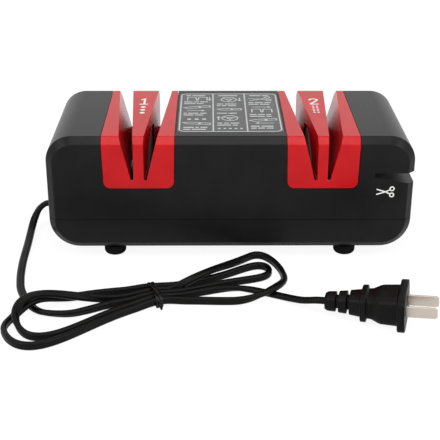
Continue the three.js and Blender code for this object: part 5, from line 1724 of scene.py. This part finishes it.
# %% White ink
INK_THICKNESS = 0.05
INK_STEP = 0.004  # crossing figures differ by this in height, so that they share no plane
INK_LEVELS = 4
INK_ROOT = -0.03  # the ink starts this far under the surface, so that no gap shows
MITRE_SHARE = 0.4  # a sharp corner grows no wider than the line's width divided by this
# The pad lays the ink unevenly, in patches of 0.8 mm.
PLATE_INK = patchy("grey_white_pad_ink", "#a2a4a4", "#cfd1d0", 0.8, 2)
MARK_INK = patchy("white_pad_ink", "#dcdcda", "#f2f2f0", 0.8, 2)


def line(points, width, closed=False):
    """The two sides of a line of a width, with mitred corners."""
    points = [Vector(p) for p in points]
    left, right = [], []
    for i, here in enumerate(points):
        before = points[i - 1] if i or closed else here
        after = points[(i + 1) % len(points)] if i < len(points) - 1 or closed else here
        ways = [(b - a).normalized() for a, b in ((before, here), (here, after)) if a != b]
        way = sum(ways, Vector((0, 0))).normalized()
        side = Vector((-way.y, way.x))
        stretch = 1 / max(MITRE_SHARE, side.dot(Vector((-ways[0].y, ways[0].x))))
        left.append(here + side * (width / 2 * stretch))
        right.append(here - side * (width / 2 * stretch))
    return left, right, closed


print("made", PLATE_INK.name, "and", MARK_INK.name)

# %% Laying ink on a surface


def inked(name, figures, place, material, body="housing"):
    """Figures as one thin mesh; place turns (across, along, height) into a point of the frame."""
    verts, faces = [], []
    for i, (left, right, closed) in enumerate(figures):
        base, count = len(verts), len(left)
        for height in (INK_ROOT, INK_THICKNESS + INK_STEP * (i % INK_LEVELS)):
            verts += [place(p.x, p.y, height) for p in left + right]
        up = 2 * count
        for here in range(count if closed else count - 1):
            there = (here + 1) % count
            l0, l1, r0, r1 = base + here, base + there, base + count + here, base + count + there
            faces += [[l0, l1, r1, r0], [l0 + up, r0 + up, r1 + up, l1 + up]]
            faces += [[l0, l0 + up, l1 + up, l1], [r0, r1, r1 + up, r0 + up]]
        if not closed:
            for end in (base, base + count - 1):
                faces.append([end, end + count, end + count + up, end + up])
    return place_piece(finish_mesh(name, verts, faces), material, (), body)


def on_plate(x, y, height):
    return (x, y, HEIGHT + height)


print("the ink is", INK_THICKNESS, "mm thick")

# %% Dots, arrows and bars
DRAWN_LINE = 0.75
ARROW_HEAD = (2.2, 1.5)  # its length and half width


def shifted(points, x, y, scale=1.0, turn=0.0):
    c, s = math.cos(math.radians(turn)) * scale, math.sin(math.radians(turn)) * scale
    return [(x + px * c - py * s, y + px * s + py * c) for px, py in points]


def circle(x, y, radius, width=DRAWN_LINE, sides=20):
    angles = [math.tau * k / sides for k in range(sides)]
    ring = [(radius * math.cos(a), radius * math.sin(a)) for a in angles]
    return line(shifted(ring, x, y), width, True)


def disc(x, y, radius):
    """A filled dot, as a short line whose sides bulge."""
    steps = [math.pi * k / 8 for k in range(9)]
    left = [Vector((x - radius * math.cos(a), y + radius * math.sin(a))) for a in steps]
    right = [Vector((x - radius * math.cos(a), y - radius * math.sin(a))) for a in steps]
    return left, right, False


def discs(x, y, radius, count, pitch):
    return [disc(x + (k - (count - 1) / 2) * pitch, y, radius) for k in range(count)]


def arrow(x, y, length, turn):
    head, half = ARROW_HEAD
    shaft = line(shifted([(0, 0), (length - head, 0)], x, y, 1, turn), DRAWN_LINE)
    sides = [shifted([(length - head, edge), (length, 0)], x, y, 1, turn) for edge in (half, -half)]
    return [shaft, (*([Vector(p) for p in side] for side in sides), False)]


def bars(x, y, lengths, width=1.5, gap=0.9):
    """A row of plain bars in place of writing."""
    figures = []
    for length in lengths:
        figures.append(line([(x, y), (x + length, y)], width))
        x += length + gap
    return figures


print("a dot has", 2 * len(disc(0, 0, 1)[0]), "points")

# %% Signs of the tool and its parts


def knife_sign(x, y, scale, turn):
    blade_shape = [(-8.5, 0.6), (-6, -1.6), (1.5, -1.6), (1.5, 1.8), (-4, 1.8)]
    handle = [(2.2, -1.1), (8, -1.5), (8.6, 0), (8, 1.7), (2.2, 1.5)]
    return [line(shifted(shape, x, y, scale, turn), DRAWN_LINE, True) for shape in (blade_shape, handle)]


def slot_sign(x, y):
    """Two posts with a slot between them, seen from the front."""
    posts = [[(-6, -3), (-6, 3), (-1, 3), (-0.3, -3)], [(6, -3), (6, 3), (1, 3), (0.3, -3)]]
    return [line(shifted(post, x, y), DRAWN_LINE) for post in posts]


def wheel_sign(x, y):
    spokes = [line(shifted([(1.6, 0), (4, 0)], x, y, 1, turn), DRAWN_LINE) for turn in (30, 150, 270)]
    return [circle(x, y, 4.6, sides=28), circle(x, y, 1.4), *spokes]


def scissors_sign(x, y, scale, width, turn=0):
    """An open pair of scissors: two lines crossed at the pivot, with a ring at the end of each."""
    figures = []
    for flip in (-1, 1):
        tip, eye, ring = Vector((-5.2, 1.6 * flip)), Vector((3.6, -1.9 * flip)), 1.15
        arm_end = eye - eye.normalized() * ring
        figures.append(line(shifted([tip, Vector((0, 0)), arm_end], x, y, scale, turn), width))
        figures.append(circle(*shifted([eye], x, y, scale, turn)[0], ring * scale, width))
    return figures


print("a pair of scissors takes", len(scissors_sign(0, 0, 1, 1)), "figures")

# %% Layout of the plate
FRAME_HALF = 29.3
FRAME_FRONT = -35.2
FRAME_BACK = 35.8
FRAME_RADIUS = 4
FRAME_LINE = 0.8
COLUMN_EDGE = 9.8  # the two uprights stand this far from the middle
WIDE = 1.6  # the thicker bars
# Each sign with its place on the plate and its sizes.
PLATE_SIGNS = [
    # Left column: draw the knife back through the coarse slot, three times.
    (bars, -26.5, 32, (3, 8), WIDE),
    (slot_sign, -19.5, 25.5),
    (arrow, -11.9, 29, 7, 270),
    (bars, -27.5, 19.5, (5, 3, 5)),
    (bars, -27.5, 16.2, (7, 4)),
    (knife_sign, -19.5, 9, 0.95, 12),
    (arrow, -25.5, 2.5, 11, 0),
    (bars, -27.5, -2.5, (2, 6, 4)),
    (bars, -27.5, -5.8, (6, 5)),
    (discs, -19.5, -13.5, 1.3, 3, 4.4),
    (knife_sign, -19.5, -21, 0.95, -8),
    (bars, -27, -28, (6, 2, 4), WIDE),
    (bars, -27, -31.4, (4, 8), WIDE),
    # Middle column: one wheel after the other.
    (bars, -6.5, 32, (12,), WIDE),
    (wheel_sign, 0, 24),
    (arrow, 6.6, 27.5, 6.5, 270),
    (bars, -7.5, 15.2, (4, 7)),
    (bars, -7.5, 11.9, (2, 3, 5)),
    (knife_sign, 0, 4.8, 0.85, 0),
    (bars, -7.5, -2.5, (6, 5)),
    (wheel_sign, 0, -11.5),
    (arrow, -6.6, -14.8, 6.5, 90),
    (bars, -7.5, -20.5, (3, 3, 5)),
    (bars, -7.5, -24, (8, 3)),
    (discs, 0, -30, 0.9, 5, 3.2),
    # Right column: scissors in the notch, and a wipe at the end.
    (bars, 13, 32, (7, 4), WIDE),
    (scissors_sign, 19.5, 25, 1.35, DRAWN_LINE, 8),
    (bars, 12, 18, (3, 5, 4)),
    (bars, 12, 14.7, (6, 6)),
    (arrow, 13.5, 9.2, 12, 0),
    (slot_sign, 19.5, 2.2),
    (bars, 12, -5, (4, 4, 3)),
    (bars, 12, -8.3, (9, 3)),
    (knife_sign, 19.5, -15, 0.95, 10),
    (arrow, 25.5, -20.5, 11, 180),
    (bars, 12, -26, (5, 7), WIDE),
    (bars, 12, -29.4, (3, 4, 4), WIDE),
]
print("signs on the plate:", len(PLATE_SIGNS))

# %% Printing the plate


def plate_figures():
    sides = (FRAME_HALF, (FRAME_BACK - FRAME_FRONT) / 2, FRAME_RADIUS)
    figures = [line(slab_outline(*sides, (0, (FRAME_BACK + FRAME_FRONT) / 2)), FRAME_LINE, True)]
    for x in (-COLUMN_EDGE, COLUMN_EDGE):
        figures.append(line([(x, FRAME_FRONT), (x, FRAME_BACK)], FRAME_LINE))
    for sign, *values in PLATE_SIGNS:
        figures += sign(*values)
    return figures


inked("plate_print", plate_figures(), on_plate, PLATE_INK)

# %% [markdown]
# ## Numbers and small marks
# Each rib has the number of its stage, with dots for its grit: few large ones, or many small ones.
# They lie in the same ink as the plate's print, only whiter, because the ribs are printed straight
# on the red plastic. The rocker's marks follow its dished face, so their points are laid on that
# face and turned with it.

# %% Rib numbers
NUMBER_LINE = 1.3
NUMBER_Y = 20
NUMBER_FOOT = [(-2.6, -5), (2.8, -5)]
# For each side: the number's stroke, the dots' places under it and their radius.
STAGES = {
    -1: ([(-1.8, 3.6), (0.3, 5.4), (0.3, -5)], [(0, -10.5 - 5.5 * row) for row in range(3)], 1.5),
    1: (
        [(-2.4, 2.8), (-1.5, 5), (0.5, 5.6), (2.3, 4.3), (2.2, 2.2), (-2.4, -4.9)],
        [(1.2 * away, -9 - 3 * row) for row in range(5) for away in (-1, 1)],
        0.75,
    ),
}


def number_figures():
    figures = []
    for side, (stroke, dots, radius) in STAGES.items():
        middle = side * RIB_CENTRE
        figures += [line(shifted(shape, middle, NUMBER_Y), NUMBER_LINE) for shape in (stroke, NUMBER_FOOT)]
        figures += [disc(x, y, radius) for x, y in shifted(dots, middle, NUMBER_Y)]
    return figures


inked("rib_numbers", number_figures(), on_plate, MARK_INK)

# %% Scissors and rocker marks
SCISSORS_MARK = (88.6, 42.7, 1, 0.7)  # place along X, height, scale and width of line
ROCKER_BAR = [(-5.4, -2), (-5.4, 2)]
ROCKER_LINE = 0.8
ROCKER_CIRCLE = (5.2, 0, 1.7, 0.7)  # place, radius and width of line


def on_front(x, z, height):
    return (x, -DEPTH / 2 - height, z)


def on_rocker_face(x, z, height):
    return on_rocker(x, rocker_face(x) + height, z)


inked("scissors_mark", scissors_sign(*SCISSORS_MARK), on_front, MARK_INK)
rocker_figures = [line(ROCKER_BAR, ROCKER_LINE), circle(*ROCKER_CIRCLE)]
inked("rocker_marks", rocker_figures, on_rocker_face, MARK_INK, "rocker")

# %% [markdown]
# ## Floor
# The photo was taken on white paper that runs out of the picture, and only the deeper shadows show
# on it. More light would wash out the object, so the floor is seen brighter than it is: part of it
# glows, but only for the rays by which the camera, mirrors and glass see it. Under the housing it
# glows for the camera alone, because the housing's lower edges and the feet mirror the floor there,
# and it is dark.

# %% Where the floor glows
FLOOR_GLOW_SHARE = 0.82
FLOOR_WHITE = 1.1
FLOOR_HALF = 4000
FLOOR_TOP = -0.02
FLOOR_THICKNESS = 5.98
SHADOW_FADE = 6


def seen_rays(owner):
    """1 for rays by which the camera, mirrors and glass see a thing, and 0 for those that light by it."""
    path = add(owner, "ShaderNodeLightPath").outputs
    joined = path["Is Camera Ray"]
    for name in ("Is Glossy Ray", "Is Transmission Ray"):
        rays = {0: joined, 1: path[name]}
        joined = add(owner, "ShaderNodeMath", {"operation": "MAXIMUM"}, rays).outputs[0]
    return joined


def beside_the_housing(material):
    """0 on the floor under the housing, and 1 a little way beside it."""
    place = add(material, "ShaderNodeTexCoord").outputs["Object"]
    spot = add(material, "ShaderNodeSeparateXYZ", None, {0: place}).outputs
    outside = []
    for axis, half in (("X", LENGTH / 2), ("Y", DEPTH / 2)):
        away = add(material, "ShaderNodeMath", {"operation": "ABSOLUTE"}, {0: spot[axis]}).outputs[0]
        ends = {"From Min": (half - SHADOW_FADE) * MM, "From Max": (half + SHADOW_FADE) * MM}
        outside.append(add(material, "ShaderNodeMapRange", ends, {"Value": away}).outputs["Result"])
    return add(material, "ShaderNodeMath", {"operation": "MAXIMUM"}, dict(enumerate(outside))).outputs[0]


print("beside the housing the glow comes up over", 2 * SHADOW_FADE, "mm")

# %% The floor itself


def pale_floor():
    """Matt white paper that is seen brighter than it is, so that only its deeper shadows show."""
    material = blank_material("matt_paper_floor")
    camera_ray = add(material, "ShaderNodeLightPath").outputs["Is Camera Ray"]
    places = {0: camera_ray, 1: beside_the_housing(material)}
    where = add(material, "ShaderNodeMath", {"operation": "MAXIMUM"}, places).outputs[0]
    rays = {0: seen_rays(material), 1: where}
    seen = add(material, "ShaderNodeMath", {"operation": "MULTIPLY"}, rays).outputs[0]
    part = {"operation": "MULTIPLY", 1: FLOOR_GLOW_SHARE}
    share = add(material, "ShaderNodeMath", part, {0: seen}).outputs[0]
    paper = add(material, "ShaderNodeBsdfDiffuse", {"Color": linear("#ececec")}).outputs[0]
    glow = add(material, "ShaderNodeEmission", {"Strength": FLOOR_WHITE}).outputs[0]
    blend = add(material, "ShaderNodeMixShader", None, {0: share, 1: paper, 2: glow})
    add(material, "ShaderNodeOutputMaterial", None, {"Surface": blend.outputs[0]})
    return material


low, high = (-FLOOR_HALF, -FLOOR_HALF, FLOOR_TOP - FLOOR_THICKNESS), (FLOOR_HALF, FLOOR_HALF, FLOOR_TOP)
floor = dress(block("floor", low, high), pale_floor())
print("the floor is", 2 * FLOOR_HALF * MM, "m wide")

# %% [markdown]
# ## Room and lamps
# The light in the photo is soft and even, from a white room with large lamps on both sides and one
# overhead. An HDR picture could give it, but it would be a file to load, so the room is one white
# world and each lamp is a plain square. The room lights with half the strength that it is seen
# with, so that plastic and metal mirror the white background without more light on the object.

# %% Room and lamps
ROOM_STRENGTH = 0.5
SIDE_PLACE = (850, -700, 780)
SIDE_SIZE = 700
SIDE_POWER = 6.5  # watts
TOP_PLACE = (0, -300, 1100)
TOP_SIZE = 500
TOP_POWER = 2.8
LAMP_TARGET = Vector((0, 0, 40))


def white_room(strength):
    """A world that lights with one strength, and that the camera and mirrors see as plain white."""
    world = bpy.data.worlds.new("room")
    bpy.context.scene.world = world
    world.use_nodes = True
    world.node_tree.nodes.clear()
    ends = {"To Min": strength, "To Max": 1.0}
    level = add(world, "ShaderNodeMapRange", ends, {"Value": seen_rays(world)}).outputs["Result"]
    white = add(world, "ShaderNodeBackground", {"Color": linear("#ffffff")}, {"Strength": level})
    add(world, "ShaderNodeOutputWorld", None, {"Surface": white.outputs["Background"]})


def lamp(name, place, size, power):
    """A square lamp that looks at the object."""
    light = bpy.data.lights.new(name, "AREA")
    light.size = size * MM
    light.energy = power
    holder = bpy.data.objects.new(name, light)
    bpy.context.scene.collection.objects.link(holder)
    holder.location = Vector(place) * MM
    holder.rotation_euler = (Vector(place) - LAMP_TARGET).to_track_quat("Z", "Y").to_euler()
    print(name, "at", place, "with", power, "W")


white_room(ROOM_STRENGTH)
for name, side in (("left_softbox", -1), ("right_softbox", 1)):
    lamp(name, (side * SIDE_PLACE[0], *SIDE_PLACE[1:]), SIDE_SIZE, SIDE_POWER)
lamp("overhead_softbox", TOP_PLACE, TOP_SIZE, TOP_POWER)

# %% [markdown]
# ## View transform
# The view transform is Standard, which shows a colour as it was picked. Filmic ones would grey the white
# room.

# %% View transform
bpy.context.scene.view_settings.view_transform = "Standard"
